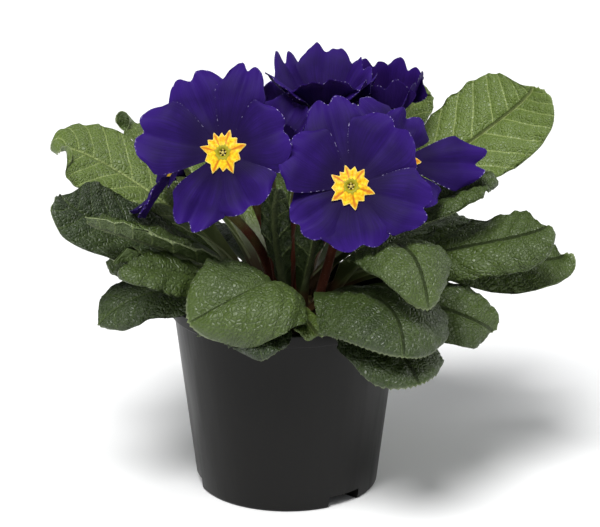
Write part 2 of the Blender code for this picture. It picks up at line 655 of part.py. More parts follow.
def make_stalk(bloom, frame, spot):
    """The stalk and its calyx: a ribbed cup with five teeth, bored for the corolla's tube."""
    upright = Vector((0, 0, 1))
    base = frame @ Vector((0, 0, CALYX_BASE))
    face = (frame.to_3x3() @ upright).normalized()
    exit_point = spot + upright * STEM_START
    reach = (base - exit_point).length
    lean = math.radians(bloom.lean)
    rise = polar(bloom.foot[0], math.sin(lean), math.cos(lean))
    controls = (exit_point, exit_point + rise * 0.4 * reach, base - face * 0.3 * reach, base)
    right = frame.to_3x3() @ Vector((1, 0, 0))
    rings = []
    stations = [(exit_point - upright * SOCKET_DEPTH, upright), (exit_point, upright)]
    stations += [curve_point(controls, step / STALK_STEPS) for step in range(1, STALK_STEPS)]
    for point, along in stations:
        side = (right - along * right.dot(along)).normalized()
        up = along.cross(side)
        ring = []
        for step in range(STALK_SIDES):
            angle = 2 * math.pi * step / STALK_SIDES
            ring.append(point + (side * math.cos(angle) + up * math.sin(angle)) * STALK_RADIUS)
        rings.append(ring)

    def cup(height, radius, rib=0.0, tooth=0.0):
        ring = []
        for step in range(STALK_SIDES):
            sign = 1 if step % 2 == 0 else -1
            angle = 360 * step / STALK_SIDES
            ring.append(frame @ polar(angle, radius + sign * rib, height + sign * tooth))
        return ring

    bore = TUBE_RADIUS + 1.5 * GAP
    rings += [
        cup(CALYX_BASE, STALK_RADIUS),
        cup(CALYX_BASE + 2 * MM, CALYX_RADIUS * 0.9, 0.2 * MM),
        cup(CALYX_MOUTH - 2 * MM, CALYX_RADIUS, 0.3 * MM),
        cup(CALYX_MOUTH, CALYX_RADIUS, 0.4 * MM, CALYX_TOOTH),
        cup(CALYX_MOUTH - CALYX_LIP, bore + GAP, 0.0, 0.4 * CALYX_TOOTH),
        cup(TUBE_BOTTOM - 2 * GAP, bore),
    ]
    add_object(bloom.name + "_stalk", lofted(rings), "stalk")


def main():
    clear_scene()
    sockets = take_sockets()
    make_pot()
    make_soil()
    make_crown(sockets)
    for leaf in LEAVES:
        make_leaf(leaf, sockets[leaf.name])
    for bloom in BLOOMS:
        frame = bloom_frame(bloom)
        make_petals(bloom, frame)
        make_eye(bloom, frame)
        make_stalk(bloom, frame, sockets[bloom.name])


main()
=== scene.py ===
import math
import random
from collections import namedtuple

import bmesh
import bpy
from mathutils import Matrix, Vector, noise


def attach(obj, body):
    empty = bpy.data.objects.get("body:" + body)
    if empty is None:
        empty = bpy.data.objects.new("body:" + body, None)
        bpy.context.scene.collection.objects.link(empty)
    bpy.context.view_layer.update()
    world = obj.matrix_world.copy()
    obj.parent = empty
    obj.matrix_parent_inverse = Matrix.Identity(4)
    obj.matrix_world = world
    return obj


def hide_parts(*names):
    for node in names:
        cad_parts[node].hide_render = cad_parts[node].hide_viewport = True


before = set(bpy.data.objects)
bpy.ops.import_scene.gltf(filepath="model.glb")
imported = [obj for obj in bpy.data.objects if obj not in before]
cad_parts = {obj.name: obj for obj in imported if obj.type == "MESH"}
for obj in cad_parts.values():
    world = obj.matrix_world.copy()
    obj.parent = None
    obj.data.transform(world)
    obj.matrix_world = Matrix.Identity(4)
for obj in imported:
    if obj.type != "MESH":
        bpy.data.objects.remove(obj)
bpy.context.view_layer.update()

# Camera. It stands a little above the blooms and looks down on them by 19 degrees, through a long lens, so
# that the pot's sides hardly draw together.
CAMERA_TARGET = Vector((0.005, 0.0, 0.088))
CAMERA_DISTANCE = 1.1
CAMERA_RISE = math.radians(19)
camera = bpy.data.objects.new("camera", bpy.data.cameras.new("camera"))
camera.data.lens = 172.8
camera.data.sensor_width = 36
camera_way = Vector((0, -math.cos(CAMERA_RISE), math.sin(CAMERA_RISE)))
camera.location = CAMERA_TARGET + camera_way * CAMERA_DISTANCE
camera.rotation_euler = camera_way.to_track_quat("Z", "Y").to_euler()
bpy.context.scene.collection.objects.link(camera)
bpy.context.scene.camera = camera


# Studio. A wide white floor, a broad soft light from above and in front, a weaker one from the right and
# behind that lines the pot and the leaves, and pale light from all round.
def add_sun(name, heading, rise, strength, spread):
    sun = bpy.data.objects.new(name, bpy.data.lights.new(name, "SUN"))
    sun.data.energy = strength
    sun.data.angle = math.radians(spread)
    heading, rise = math.radians(heading), math.radians(rise)
    way = Vector((math.cos(heading) * math.cos(rise), math.sin(heading) * math.cos(rise), math.sin(rise)))
    sun.rotation_euler = way.to_track_quat("Z", "Y").to_euler()
    bpy.context.scene.collection.objects.link(sun)


add_sun("top light", -112, 60, 3.6, 26)
add_sun("side light", 25, 28, 0.9, 40)

studio = bpy.data.worlds.new("studio")
studio.use_nodes = True
studio_nodes = studio.node_tree.nodes
studio_links = studio.node_tree.links
room = studio_nodes["Background"]
room.inputs["Color"].default_value = (0.95, 0.97, 1.0, 1)
room.inputs["Strength"].default_value = 0.27
backdrop = studio_nodes.new("ShaderNodeBackground")
backdrop.inputs["Color"].default_value = (1, 1, 1, 1)
backdrop.inputs["Strength"].default_value = 1.0
ray = studio_nodes.new("ShaderNodeLightPath")
either = studio_nodes.new("ShaderNodeMixShader")
studio_links.new(ray.outputs["Is Camera Ray"], either.inputs[0])
studio_links.new(room.outputs[0], either.inputs[1])
studio_links.new(backdrop.outputs[0], either.inputs[2])
studio_links.new(either.outputs[0], studio_nodes["World Output"].inputs["Surface"])
bpy.context.scene.world = studio
bpy.context.scene.view_settings.view_transform = "Standard"


def paint(red, green, blue):
    """A colour mixed on a screen, as the light values that a finish needs."""
    steps = [value / 255 for value in (red, green, blue)]
    return (*[s / 12.92 if s < 0.04045 else ((s + 0.055) / 1.055) ** 2.4 for s in steps], 1)


def add_node(finish, kind, inputs=None, **settings):
    """Adds a shader node to a finish. Its inputs are values, or outputs of other nodes."""
    node = finish.node_tree.nodes.new("ShaderNode" + kind)
    for name, value in settings.items():
        setattr(node, name, value)
    for name, value in (inputs or {}).items():
        if isinstance(value, bpy.types.NodeSocket):
            finish.node_tree.links.new(value, node.inputs[name])
        else:
            node.inputs[name].default_value = value
    return node


def new_finish(name):
    finish = bpy.data.materials.new(name)
    finish.use_nodes = True
    return finish


def shader_of(finish, inputs):
    """Sets the inputs of a finish's own shader."""
    shader = finish.node_tree.nodes["Principled BSDF"]
    for name, value in inputs.items():
        if isinstance(value, bpy.types.NodeSocket):
            finish.node_tree.links.new(value, shader.inputs[name])
        else:
            shader.inputs[name].default_value = value


def mixed(finish, share, first, second, blend="MIX"):
    """A mix of two colours by a share."""
    node = add_node(finish, "Mix", {0: share, 6: first, 7: second}, data_type="RGBA", blend_type=blend)
    return node.outputs[2]


def ranged(finish, value, low, high, start=0.0, end=1.0, smooth=True):
    """A value between low and high, stretched to run from start to end."""
    how = "SMOOTHSTEP" if smooth else "LINEAR"
    inputs = {0: value, 1: low, 2: high, 3: start, 4: end}
    return add_node(finish, "MapRange", inputs, interpolation_type=how).outputs[0]


def worked(finish, operation, first, second=0.5):
    """One step of arithmetic on two values."""
    return add_node(finish, "Math", {0: first, 1: second}, operation=operation).outputs[0]


def grain(finish, scale, detail=3.0, stretch=(1, 1, 1), source=None, rough=0.55):
    """Noise on the piece's own coordinates, in cycles a metre, or on a source that is given."""
    source = source or add_node(finish, "TexCoord").outputs["Object"]
    held = add_node(finish, "Mapping", {"Vector": source, "Scale": stretch}).outputs[0]
    inputs = {"Vector": held, "Scale": scale, "Detail": detail, "Roughness": rough}
    return add_node(finish, "TexNoise", inputs).outputs[0]


def bumped(finish, height, distance, strength=1.0):
    inputs = {"Height": height, "Distance": distance, "Strength": strength}
    return add_node(finish, "Bump", inputs).outputs[0]


floor_shape = bmesh.new()
bmesh.ops.create_circle(floor_shape, cap_ends=True, segments=64, radius=12)
floor_mesh = bpy.data.meshes.new("floor")
floor_shape.to_mesh(floor_mesh)
floor_shape.free()
floor = bpy.data.objects.new("floor", floor_mesh)
bpy.context.scene.collection.objects.link(floor)
floor_finish = new_finish("floor white")
floor_cloud = grain(floor_finish, 2.0)
floor_colour = mixed(floor_finish, floor_cloud, paint(242, 242, 242), paint(246, 246, 246))
shader_of(floor_finish, {"Base Color": floor_colour, "Roughness": 0.9, "Specular IOR Level": 0.1})
floor_mesh.materials.append(floor_finish)

# Pot. A thin-walled cone of black plastic, moulded in one piece, with a band round its rim and three drain
# pockets raised in its foot, each with a round hole. Sizes are in metres: 90 mm across, 75 mm high.
MM = 0.001
POT_HEIGHT = 75.0 * MM
POT_RIM_RADIUS = 45.0 * MM
POT_BODY_RADIUS = 43.4 * MM
POT_FOOT_RADIUS = 35.0 * MM
POT_BAND = 70.0 * MM
POT_WALL = 1.2 * MM
POT_STEPS = 144
POCKET_ANGLES = (-51, 69, 189)
POCKET_HALF_ANGLE = 12
POCKET_INNER_RADIUS = 26.0 * MM
POCKET_HEIGHT = 4.4 * MM
DRAIN_RADIUS = 2.5 * MM


def polar(degrees, radius, height=0.0):
    angle = math.radians(degrees)
    return Vector((radius * math.cos(angle), radius * math.sin(angle), height))


def arc(centre, radius, start, end, steps=5):
    """Points (radius, height) of a rounded edge, between two directions in degrees."""
    turns = [math.radians(start + (end - start) * step / steps) for step in range(steps + 1)]
    return [(centre[0] + radius * math.cos(turn), centre[1] + radius * math.sin(turn)) for turn in turns]


def spun(profile, steps):
    """A closed shell turned about the Z axis from an outline of (radius, height) points."""
    shape = bmesh.new()
    corners = [shape.verts.new((radius, 0, height)) for radius, height in profile]
    for pair in zip(corners, corners[1:]):
        shape.edges.new(pair)
    geometry = [*shape.verts, *shape.edges]
    bmesh.ops.spin(
        shape, geom=geometry, axis=(0, 0, 1), cent=(0, 0, 0), angle=2 * math.pi, steps=steps, use_merge=True
    )
    bmesh.ops.remove_doubles(shape, verts=shape.verts, dist=0.002 * MM)
    bmesh.ops.recalc_face_normals(shape, faces=shape.faces)
    return shape


def sector(inner, outer, bottom, top, middle, half_angle):
    """A block bent round the Z axis."""
    shape = bmesh.new()
    outline = ((inner, bottom), (outer, bottom), (outer, top), (inner, top))
    face = shape.faces.new([shape.verts.new((radius, 0, height)) for radius, height in outline])
    turn = Matrix.Rotation(math.radians(middle - half_angle), 3, "Z")
    bmesh.ops.rotate(shape, verts=shape.verts, cent=(0, 0, 0), matrix=turn)
    geometry = [face, *face.edges, *face.verts]
    bmesh.ops.spin(
        shape, geom=geometry, axis=(0, 0, 1), cent=(0, 0, 0), angle=math.radians(2 * half_angle), steps=16
    )
    bmesh.ops.recalc_face_normals(shape, faces=shape.faces)
    return shape


def add_piece(name, shape, finish, sharp=40):
    """Turns a bmesh into a named, smooth-shaded piece."""
    if shape.calc_volume(signed=True) < 0:
        bmesh.ops.reverse_faces(shape, faces=shape.faces)
    mesh = bpy.data.meshes.new(name)
    shape.to_mesh(mesh)
    shape.free()
    mesh.shade_smooth()
    mesh.set_sharp_from_angle(angle=math.radians(sharp))
    mesh.materials.append(finish)
    piece = bpy.data.objects.new(name, mesh)
    bpy.context.scene.collection.objects.link(piece)
    return piece


def carve(target, tool, operation):
    """Adds a solid to a piece, or cuts it away, and removes the solid."""
    modifier = target.modifiers.new(operation, "BOOLEAN")
    modifier.operation = operation
    modifier.object = tool
    modifier.solver = "EXACT"
    bpy.context.view_layer.update()
    evaluated = target.evaluated_get(bpy.context.evaluated_depsgraph_get())
    carved = bpy.data.meshes.new_from_object(evaluated)
    target.modifiers.remove(modifier)
    target.data = carved
    bpy.data.objects.remove(tool)


pot_finish = new_finish("satin black plastic")
pot_streak = grain(pot_finish, 260, 2.0, stretch=(1, 1, 0.03))
pot_cloud = grain(pot_finish, 45, 3.0)
pot_grit = grain(pot_finish, 2600, 2.0)
pot_dust = ranged(pot_finish, grain(pot_finish, 900, 4.0), 0.60, 0.78, 0.0, 0.25)
pot_colour = mixed(pot_finish, pot_streak, paint(10, 10, 9), paint(17, 16, 15))
pot_colour = mixed(pot_finish, worked(pot_finish, "MULTIPLY", pot_cloud, 0.3), pot_colour, paint(24, 23, 21))
pot_colour = mixed(pot_finish, pot_dust, pot_colour, paint(48, 44, 38))
pot_rough = worked(pot_finish, "ADD", ranged(pot_finish, pot_streak, 0.3, 0.7, 0.0, 0.10), 0.36)
pot_relief = worked(pot_finish, "ADD", worked(pot_finish, "MULTIPLY", pot_grit, 0.2), pot_streak)
shader_of(
    pot_finish,
    {
        "Base Color": pot_colour,
        "Roughness": pot_rough,
        "Specular IOR Level": 0.20,
        "Normal": bumped(pot_finish, pot_relief, 0.08 * MM, 0.7),
    },
)

LIP = 0.55 * MM
pot_inner_top = POT_BODY_RADIUS - POT_WALL
pot_profile = [(0, 0), (POT_FOOT_RADIUS - 1.4 * MM, 0)]
pot_profile += arc((POT_FOOT_RADIUS - 1.1 * MM, 1.1 * MM), 1.1 * MM, -80, 0)
pot_profile += [(POT_FOOT_RADIUS + (POT_BODY_RADIUS - POT_FOOT_RADIUS) * s, 1.1 * MM + (POT_BAND - 1.1 * MM) * s)
                for s in (0.25, 0.5, 0.75, 1)]
pot_profile += arc((POT_RIM_RADIUS - LIP, POT_BAND + 1.2 * LIP), LIP, -60, 0, 3)
pot_profile += arc((POT_RIM_RADIUS - LIP, POT_HEIGHT - LIP), LIP, 0, 90)
pot_profile += arc((pot_inner_top + LIP, POT_HEIGHT - LIP), LIP, 90, 180)
pot_profile += [(pot_inner_top, POT_BAND), (POT_FOOT_RADIUS - POT_WALL, POT_WALL), (0, POT_WALL)]
pot = add_piece("pot.plastic", spun(pot_profile, POT_STEPS), pot_finish)
pocket_ceiling = POCKET_HEIGHT + POT_WALL
pocket_side = math.degrees(POT_WALL / POT_FOOT_RADIUS)
for pocket_angle in POCKET_ANGLES:
    pocket_shell = sector(
        POCKET_INNER_RADIUS - POT_WALL,
        POT_FOOT_RADIUS - 0.3 * POT_WALL,
        0.3 * POT_WALL,
        pocket_ceiling,
        pocket_angle,
        POCKET_HALF_ANGLE + pocket_side,
    )
    carve(pot, add_piece("pocket shell", pocket_shell, pot_finish), "UNION")
for pocket_angle in POCKET_ANGLES:
    pocket_hollow = sector(
        POCKET_INNER_RADIUS, POT_RIM_RADIUS, -POT_WALL, POCKET_HEIGHT, pocket_angle, POCKET_HALF_ANGLE
    )
    carve(pot, add_piece("pocket hollow", pocket_hollow, pot_finish), "DIFFERENCE")
    drain = bmesh.new()
    drain_place = polar(pocket_angle, (POCKET_INNER_RADIUS + POT_FOOT_RADIUS) / 2, pocket_ceiling)
    bmesh.ops.create_cone(
        drain,
        cap_ends=True,
        segments=32,
        radius1=DRAIN_RADIUS,
        radius2=DRAIN_RADIUS,
        depth=4 * POT_WALL,
        matrix=Matrix.Translation(drain_place),
    )
    carve(pot, add_piece("drain", drain, pot_finish), "DIFFERENCE")
pot.data.shade_smooth()
pot.data.set_sharp_from_angle(angle=math.radians(40))
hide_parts("pot")
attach(pot, "root")

# Soil. Dark, coarse peat that fills the pot to 7 mm below its rim, with crumbs and short fibres lying on it.
SOIL_TOP = 68.0 * MM
SOIL_LUMP = 1.6 * MM
SOIL_CRUMBS = 420


def mix(first, second, share):
    return first + (second - first) * share


soil_finish = new_finish("peat")
soil_crumb = grain(soil_finish, 420, 6.0, rough=0.7)
soil_fibre = grain(soil_finish, 300, 3.0, stretch=(1, 6, 3))
soil_colour = mixed(soil_finish, soil_crumb, paint(24, 16, 10), paint(74, 54, 38))
soil_colour = mixed(soil_finish, ranged(soil_finish, soil_fibre, 0.62, 0.75, 0.0, 0.6), soil_colour, paint(112, 84, 56))
shader_of(
    soil_finish,
    {
        "Base Color": soil_colour,
        "Roughness": 0.95,
        "Specular IOR Level": 0.2,
        "Normal": bumped(soil_finish, soil_crumb, 0.9 * MM),
    },
)

soil_edge = pot_inner_top - 0.7 * MM
soil_foot = POT_FOOT_RADIUS - POT_WALL - 0.6 * MM
soil_profile = [(0, 6.5 * MM), (POCKET_INNER_RADIUS - 2 * MM, 6.5 * MM), (soil_foot, 7 * MM), (soil_edge, SOIL_TOP - 2 * MM)]
soil_profile += [(soil_edge * share, SOIL_TOP) for share in (0.985, *[step / 36 for step in range(35, -1, -1)])]
soil_shape = spun(soil_profile, 120)
for vert in soil_shape.verts:
    if vert.co.z > SOIL_TOP - 0.1 * MM:
        lumps = noise.noise(vert.co * 140) + 0.6 * noise.noise(vert.co * 380)
        vert.co.z += SOIL_LUMP * lumps * min(1, (soil_edge - vert.co.xy.length) / (4 * MM))
soil_dice = random.Random(11)
for crumb in range(SOIL_CRUMBS):
    crumb_radius = soil_edge * math.sqrt(soil_dice.uniform(0.18, 0.95))
    crumb_place = polar(soil_dice.uniform(0, 360), crumb_radius, SOIL_TOP + soil_dice.uniform(-0.5, 0.9) * MM)
    crumb_turn = Matrix.Rotation(soil_dice.uniform(0, 6), 4, "X") @ Matrix.Rotation(soil_dice.uniform(0, 6), 4, "Z")
    crumb_size = soil_dice.uniform(0.5, 1.7) * MM
    crumb_scale = Matrix.Diagonal((crumb_size, crumb_size * soil_dice.uniform(0.5, 0.9), crumb_size * 0.6, 1))
    bmesh.ops.create_icosphere(
        soil_shape, subdivisions=1, radius=1, matrix=Matrix.Translation(crumb_place) @ crumb_turn @ crumb_scale
    )
soil = add_piece("soil.peat", soil_shape, soil_finish)
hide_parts("soil")
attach(soil, "root")

# Crown. The short, fleshy stock half sunk in the soil, pale where it is young and reddish at the leaf bases.
# Every leaf and stalk grows from a place of its own on it, in a honeycomb, each taking the nearest free one.
CROWN_TOP = 72.0 * MM
CROWN_RADIUS = 21.5 * MM
CROWN_EDGE = 2.7 * MM
FOOT_PITCH = 5.4 * MM
FOOT_DEPTH = 5.0 * MM
FOOT_RISE = 0.6 * MM
STALK_FEET = {
    "bloom_left": (245, 6),
    "bloom_right": (322, 14),
    "bloom_top": (0, 0),
    "bloom_middle": (150, 3),
    "bloom_back_right": (60, 5),
    "bloom_far_right": (345, 6),
    "bloom_far_left": (195, 7),
    "bloom_back": (90, 5),
}
LEAF_FEET = {
    "leaf_centre_left": (255, 8),
    "leaf_centre_right": (285, 10),
    "leaf_left_high": (168, 11),
    "leaf_left_back": (135, 9),
    "leaf_left_broad": (186, 14),
    "leaf_left_channel": (204, 10),
    "leaf_left_rolled": (220, 15),
    "leaf_left_low": (205, 19),
    "leaf_front_left": (250, 11),
    "leaf_front_left_low": (246, 17),
    "leaf_front_small": (278, 17),
    "leaf_front_right": (294, 14),
    "leaf_front_right_high": (350, 13),
    "leaf_front_right_low": (316, 17),
    "leaf_right_low": (338, 18),
    "leaf_right_arched": (2, 11),
    "leaf_right_level": (18, 14),
    "leaf_right_high": (36, 12),
    "leaf_back_right_high": (60, 11),
    "leaf_right_inner": (0, 5),
    "leaf_back_right_low": (38, 17),
    "leaf_back_low": (64, 17),
    "leaf_back_left_low": (92, 17),
    "leaf_far_back_left_low": (118, 17),
    "leaf_far_left_low": (142, 17),
    "leaf_left_back_low": (166, 17),
    "leaf_back_right_arched": (79, 14),
    "leaf_back_arched": (90, 11),
    "leaf_back_left_arched": (122, 11),
}


def take_places():
    """The point where each stalk and leaf leaves the crown."""
    reach = CROWN_RADIUS - CROWN_EDGE
    rows = int(reach / (FOOT_PITCH * 0.866)) + 1
    free = []
    for row in range(-rows, rows + 1):
        for column in range(-rows - 1, rows + 2):
            x = (column + (row % 2) * 0.5) * FOOT_PITCH
            y = row * FOOT_PITCH * math.sqrt(0.75)
            if math.hypot(x, y) < reach:
                free.append(Vector((x, y, CROWN_TOP)))
    taken = {}
    for name, (azimuth, radius) in {**STALK_FEET, **LEAF_FEET}.items():
        wanted = polar(azimuth, radius * MM, CROWN_TOP)
        spot = min(free, key=lambda place: (place - wanted).length)
        free.remove(spot)
        taken[name] = spot + Vector((0, 0, FOOT_RISE))
    return taken


exits = take_places()

crown_finish = new_finish("crown flesh")
crown_cloud = grain(crown_finish, 160, 4.0)
crown_scale = grain(crown_finish, 900, 3.0)
crown_colour = mixed(crown_finish, crown_cloud, paint(96, 52, 40), paint(122, 128, 66))
crown_colour = mixed(crown_finish, ranged(crown_finish, crown_scale, 0.45, 0.7), crown_colour, paint(58, 40, 24))
shader_of(
    crown_finish,
    {
        "Base Color": crown_colour,
        "Roughness": 0.7,
        "Specular IOR Level": 0.3,
        "Normal": bumped(crown_finish, crown_scale, 0.4 * MM),
    },
)
crown_profile = [(0, 50 * MM), (12 * MM, 50 * MM), (18 * MM, 58 * MM), (CROWN_RADIUS, 65 * MM), (CROWN_RADIUS, 67 * MM)]
crown_profile += [(CROWN_RADIUS * math.cos(math.radians(step * 6)), 67 * MM + 5.2 * MM * math.sin(math.radians(step * 6)))
                  for step in range(1, 15)]
crown_profile += [(0, 72.2 * MM)]
crown_shape = spun(crown_profile, 90)
for vert in crown_shape.verts:
    rough_top = noise.noise(vert.co * 260) + 0.5 * noise.noise(vert.co * 600)
    vert.co.z += 0.7 * MM * rough_top
crown = add_piece("crown.stock", crown_shape, crown_finish)
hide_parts("crown")
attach(crown, "root")

# Leaves. Each is a soft, puckered blade on a winged stem, grown in one piece: its net of veins is sunk, the
# flesh between them swells, the margin is toothed, waved and downy, and the edges roll down with age.
# crest and tip are points of the midrib in millimetres; lean is how far the stem tips out of the crown. In
# degrees, roll turns the blade about its midrib, fold lifts both halves, and curls roll each edge down. wave
# is how far the edge ripples, and the last value how light the leaf is drawn, from 0 to 1: partly the leaf's
# own paleness, partly painted light and shade, low for leaves that lie in shadow in the middle or under others.
Leaf = namedtuple("Leaf", "name crest tip width lean roll fold curls wave tone")
LEAVES = (
    Leaf("leaf_centre_left", (-4, -21, 106), (-3, -26, 126), 12, 12, 0, 25, (10, 10), 0.4, 0.00),
    Leaf("leaf_centre_right", (10, -22, 106), (12, -27, 124), 14, 12, 0, 25, (10, 10), 0.4, 0.00),
    Leaf("leaf_left_high", (-62, 14, 119), (-87, 16, 128), 34, 20, -22, 10, (25, 30), 1.2, 0.88),
    Leaf("leaf_left_back", (-44, 41, 120), (-61, 50, 125), 33, 15, 10, 10, (25, 25), 0.8, 0.85),
    Leaf("leaf_left_broad", (-60, -14, 105), (-84, -17, 121), 31, 25, -38, 12, (20, 40), 1.5, 0.12),
    Leaf("leaf_left_channel", (-50, -32, 107), (-73, -36, 117), 15, 25, 0, 40, (10, 10), 0.8, 0.50),
    Leaf("leaf_left_rolled", (-43, -38, 98), (-59, -42, 103), 22, 30, -20, 10, (20, 90), 0.8, 0.45),
    Leaf("leaf_left_low", (-47, -20, 84), (-71, -24, 72), 26, 55, -15, 5, (20, 80), 1.2, 0.20),
    Leaf("leaf_front_left", (-7, -43, 96), (-36, -54, 84), 49, 35, -10, 5, (30, 80), 1.5, 0.42),
    Leaf("leaf_front_left_low", (-15, -46, 80), (-20, -57, 75), 36, 50, 0, 5, (40, 40), 1.0, 0.00),
    Leaf("leaf_front_small", (8, -41, 79), (12, -48, 76), 12, 50, 0, 5, (40, 40), 0.6, 0.75),
    Leaf("leaf_front_right", (32, -46, 91), (42, -72, 77), 56, 40, 0, 5, (60, 60), 1.0, 0.20),
    Leaf("leaf_front_right_high", (39, -39, 109), (51, -66, 93), 36, 32, 0, 5, (60, 60), 1.0, 0.42),
    Leaf("leaf_front_right_low", (36, -44, 77), (48, -66, 64), 40, 50, 0, 5, (50, 50), 1.2, 0.18),
    Leaf("leaf_right_low", (57, -24, 79), (77, -27, 70), 26, 50, 32, 5, (50, 30), 1.2, 0.34),
    Leaf("leaf_right_arched", (68, -12, 99), (98, -14, 108), 32, 35, 20, 5, (90, 20), 1.2, 0.52),
    Leaf("leaf_right_level", (80, 8, 86), (106, 8, 89), 30, 45, 20, 5, (50, 50), 1.2, 0.48),
    Leaf("leaf_right_high", (68, 28, 126), (95, 36, 148), 42, 18, 34, 10, (25, 25), 1.4, 1.00),
    Leaf("leaf_back_right_high", (40, 50, 122), (50, 58, 146), 24, 15, -10, 10, (30, 30), 1.0, 0.85),
    Leaf("leaf_right_inner", (56, -8, 115), (75, -10, 120), 24, 20, 10, 20, (60, 30), 1.0, 0.40),
    Leaf("leaf_back_right_low", (56, 44, 89), (74, 58, 84), 36, 45, 0, 5, (50, 50), 1.2, 0.45),
    Leaf("leaf_back_low", (30, 60, 82), (38, 82, 74), 38, 45, 0, 5, (50, 50), 1.2, 0.35),
    Leaf("leaf_back_left_low", (-2, 63, 89), (-2, 86, 83), 36, 45, 0, 5, (50, 50), 1.2, 0.40),
    Leaf("leaf_far_back_left_low", (-31, 54, 83), (-42, 74, 76), 36, 45, 0, 5, (50, 50), 1.2, 0.30),
    Leaf("leaf_far_left_low", (-48, 37, 92), (-66, 50, 87), 34, 45, 0, 5, (50, 50), 1.2, 0.50),
    Leaf("leaf_left_back_low", (-50, 15, 85), (-70, 20, 82), 28, 45, 0, 5, (50, 50), 1.2, 0.25),
    Leaf("leaf_back_right_arched", (34, 52, 108), (46, 74, 108), 34, 28, 0, 5, (50, 50), 1.2, 0.75),
    Leaf("leaf_back_arched", (2, 58, 105), (2, 82, 106), 36, 28, 0, 5, (50, 50), 1.2, 0.60),
    Leaf("leaf_back_left_arched", (-28, 48, 110), (-42, 68, 112), 34, 28, 0, 5, (50, 50), 1.2, 0.80),
)
BLADE_THICKNESS = 0.45 * MM
RIM_THICKNESS = 0.30 * MM
RIB_THICKNESS = 1.5 * MM
FOOT_HALF_WIDTH = 1.5 * MM
WING_WIDTH = 1.6 * MM
FOOT_FOLD = 55
CREST_SHARE = 0.60
WIDEST_SHARE = 0.68
TIP_ROUNDNESS = 2.3
STEM_SHARE = 0.22  # how much of the leaf the bare stem is
STEM_ROWS = 0.16  # and how much of its mesh
MESH_STEP = 0.76 * MM
VEIN_PITCH = 8.0 * MM
VEIN_SLANT = 1.17  # how much closer the side veins stand across their run than along the midrib
CELL = 3.1 * MM
PUCKER = 0.5 * MM
SWELL = 0.85 * MM
TOOTH = 0.42 * MM
TOOTH_PITCH = 1.9 * MM
DOWN_LENGTH = 0.7 * MM
DOWN_RADIUS = 0.045 * MM


def smooth_step(low, high, value):
    share = min(1.0, max(0.0, (value - low) / (high - low)))
    return share * share * (3 - 2 * share)


def curve_point(controls, share):
    """A point of the cubic curve with these four controls, and its direction there."""
    a, b, c, d = controls
    rest = 1 - share
    point = a * rest**3 + b * 3 * rest**2 * share + c * 3 * rest * share**2 + d * share**3
    slope = (b - a) * rest**2 + (c - b) * 2 * rest * share + (d - c) * share**2
    return point, slope.normalized()


def leaf_curve(leaf, foot):
    """Controls of the midrib: out of the crown at its lean, over its crest and on to the tip."""
    crest = Vector(leaf.crest) * MM
    tip = Vector(leaf.tip) * MM
    lean = math.radians(leaf.lean)
    rise = polar(LEAF_FEET[leaf.name][0], math.sin(lean), math.cos(lean))
    first = foot + rise * (crest - foot).length * 0.38
    s = CREST_SHARE
    r = 1 - s
    second = (crest - foot * r**3 - first * 3 * r**2 * s - tip * s**3) / (3 * r * s**2)
    return foot, first, second, tip


def leaf_half_width(leaf, share):
    """A winged stem that widens to a spoon-shaped blade."""
    full = leaf.width * MM / 2
    if share < WIDEST_SHARE:
        wing = FOOT_HALF_WIDTH + WING_WIDTH * smooth_step(0.0, 0.3, share)
        blade = math.sin(math.pi / 2 * max(0.0, share - 0.15) / (WIDEST_SHARE - 0.15)) ** 1.8
        return mix(wing, full, blade)
    past = (share - WIDEST_SHARE) / (1 - WIDEST_SHARE)
    return full * math.sqrt(max(0.0, 1 - past**TIP_ROUNDNESS))


def leaf_point(leaf, controls, share, across):
    """A point of the smooth blade's upper face and the normal there; across runs from -1 to 1."""
    point, along = curve_point(controls, share)
    upright = Vector((0, 0, 1))
    along = upright.lerp(along, smooth_step(0, 0.12, share)).normalized()
    reach = controls[3] - controls[0]
    side = Vector((-reach.y, reach.x, 0)).normalized()
    side = (side - along * side.dot(along)).normalized()
    up = along.cross(side)
    blade = smooth_step(0.15, 0.55, share)
    turn = Matrix.Rotation(math.radians(leaf.roll) * blade, 3, along)
    side, up = turn @ side, turn @ up
    fold = math.radians(mix(FOOT_FOLD, leaf.fold, smooth_step(0.0, 0.55, share)))
    curl = math.radians(leaf.curls[1] if across > 0 else leaf.curls[0]) * blade
    half = leaf_half_width(leaf, share)
    steps = 6
    out = lift = 0.0
    for step in range(steps):
        angle = fold - curl * (abs(across) * (step + 0.5) / steps) ** 1.5
        out += math.cos(angle) / steps
        lift += math.sin(angle) / steps
    angle = fold - curl * abs(across) ** 1.5
    sign = 1 if across > 0 else -1
    phase = len(leaf.name) + leaf.width
    ripple = math.sin(2 * math.pi * 2.6 * share + phase + 1.4 * sign) * leaf.wave * MM * blade * across**2
    point = point + side * (across * half * out) + up * (abs(across) * half * lift + ripple)
    normal = up * math.cos(angle) - side * (sign * math.sin(angle))
    return point, normal.normalized()


def vein_phases(leaf, x, y):
    """How many side veins a spot of the blade lies along, and how many cells it lies along them."""
    seed = (len(leaf.name) * 0.37 + leaf.width * 0.11) % 1
    wander = noise.noise((x * 55, y * 55, seed * 9))
    flutter = noise.noise((x * 170, y * 170, seed * 9 + 5))
    way = y - 0.6 * abs(x) - 8.0 * x * x
    veins = way / VEIN_PITCH + 0.20 * wander + 0.06 * flutter + (0.5 if x > 0 else 0.0) + seed
    cells = (0.85 * abs(x) + 0.53 * y) / CELL + 0.3 * wander + 0.2 * flutter + (40 if x > 0 else 0)
    return veins, cells


def net_depth(veins, cells):
    """1 on the veins of the net, falling to 0 inside its cells."""
    near = noise.voronoi((veins * VEIN_PITCH / VEIN_SLANT / CELL, cells, 0.5))[0]
    return 1 - smooth_step(0.02, 0.42, near[1] - near[0])


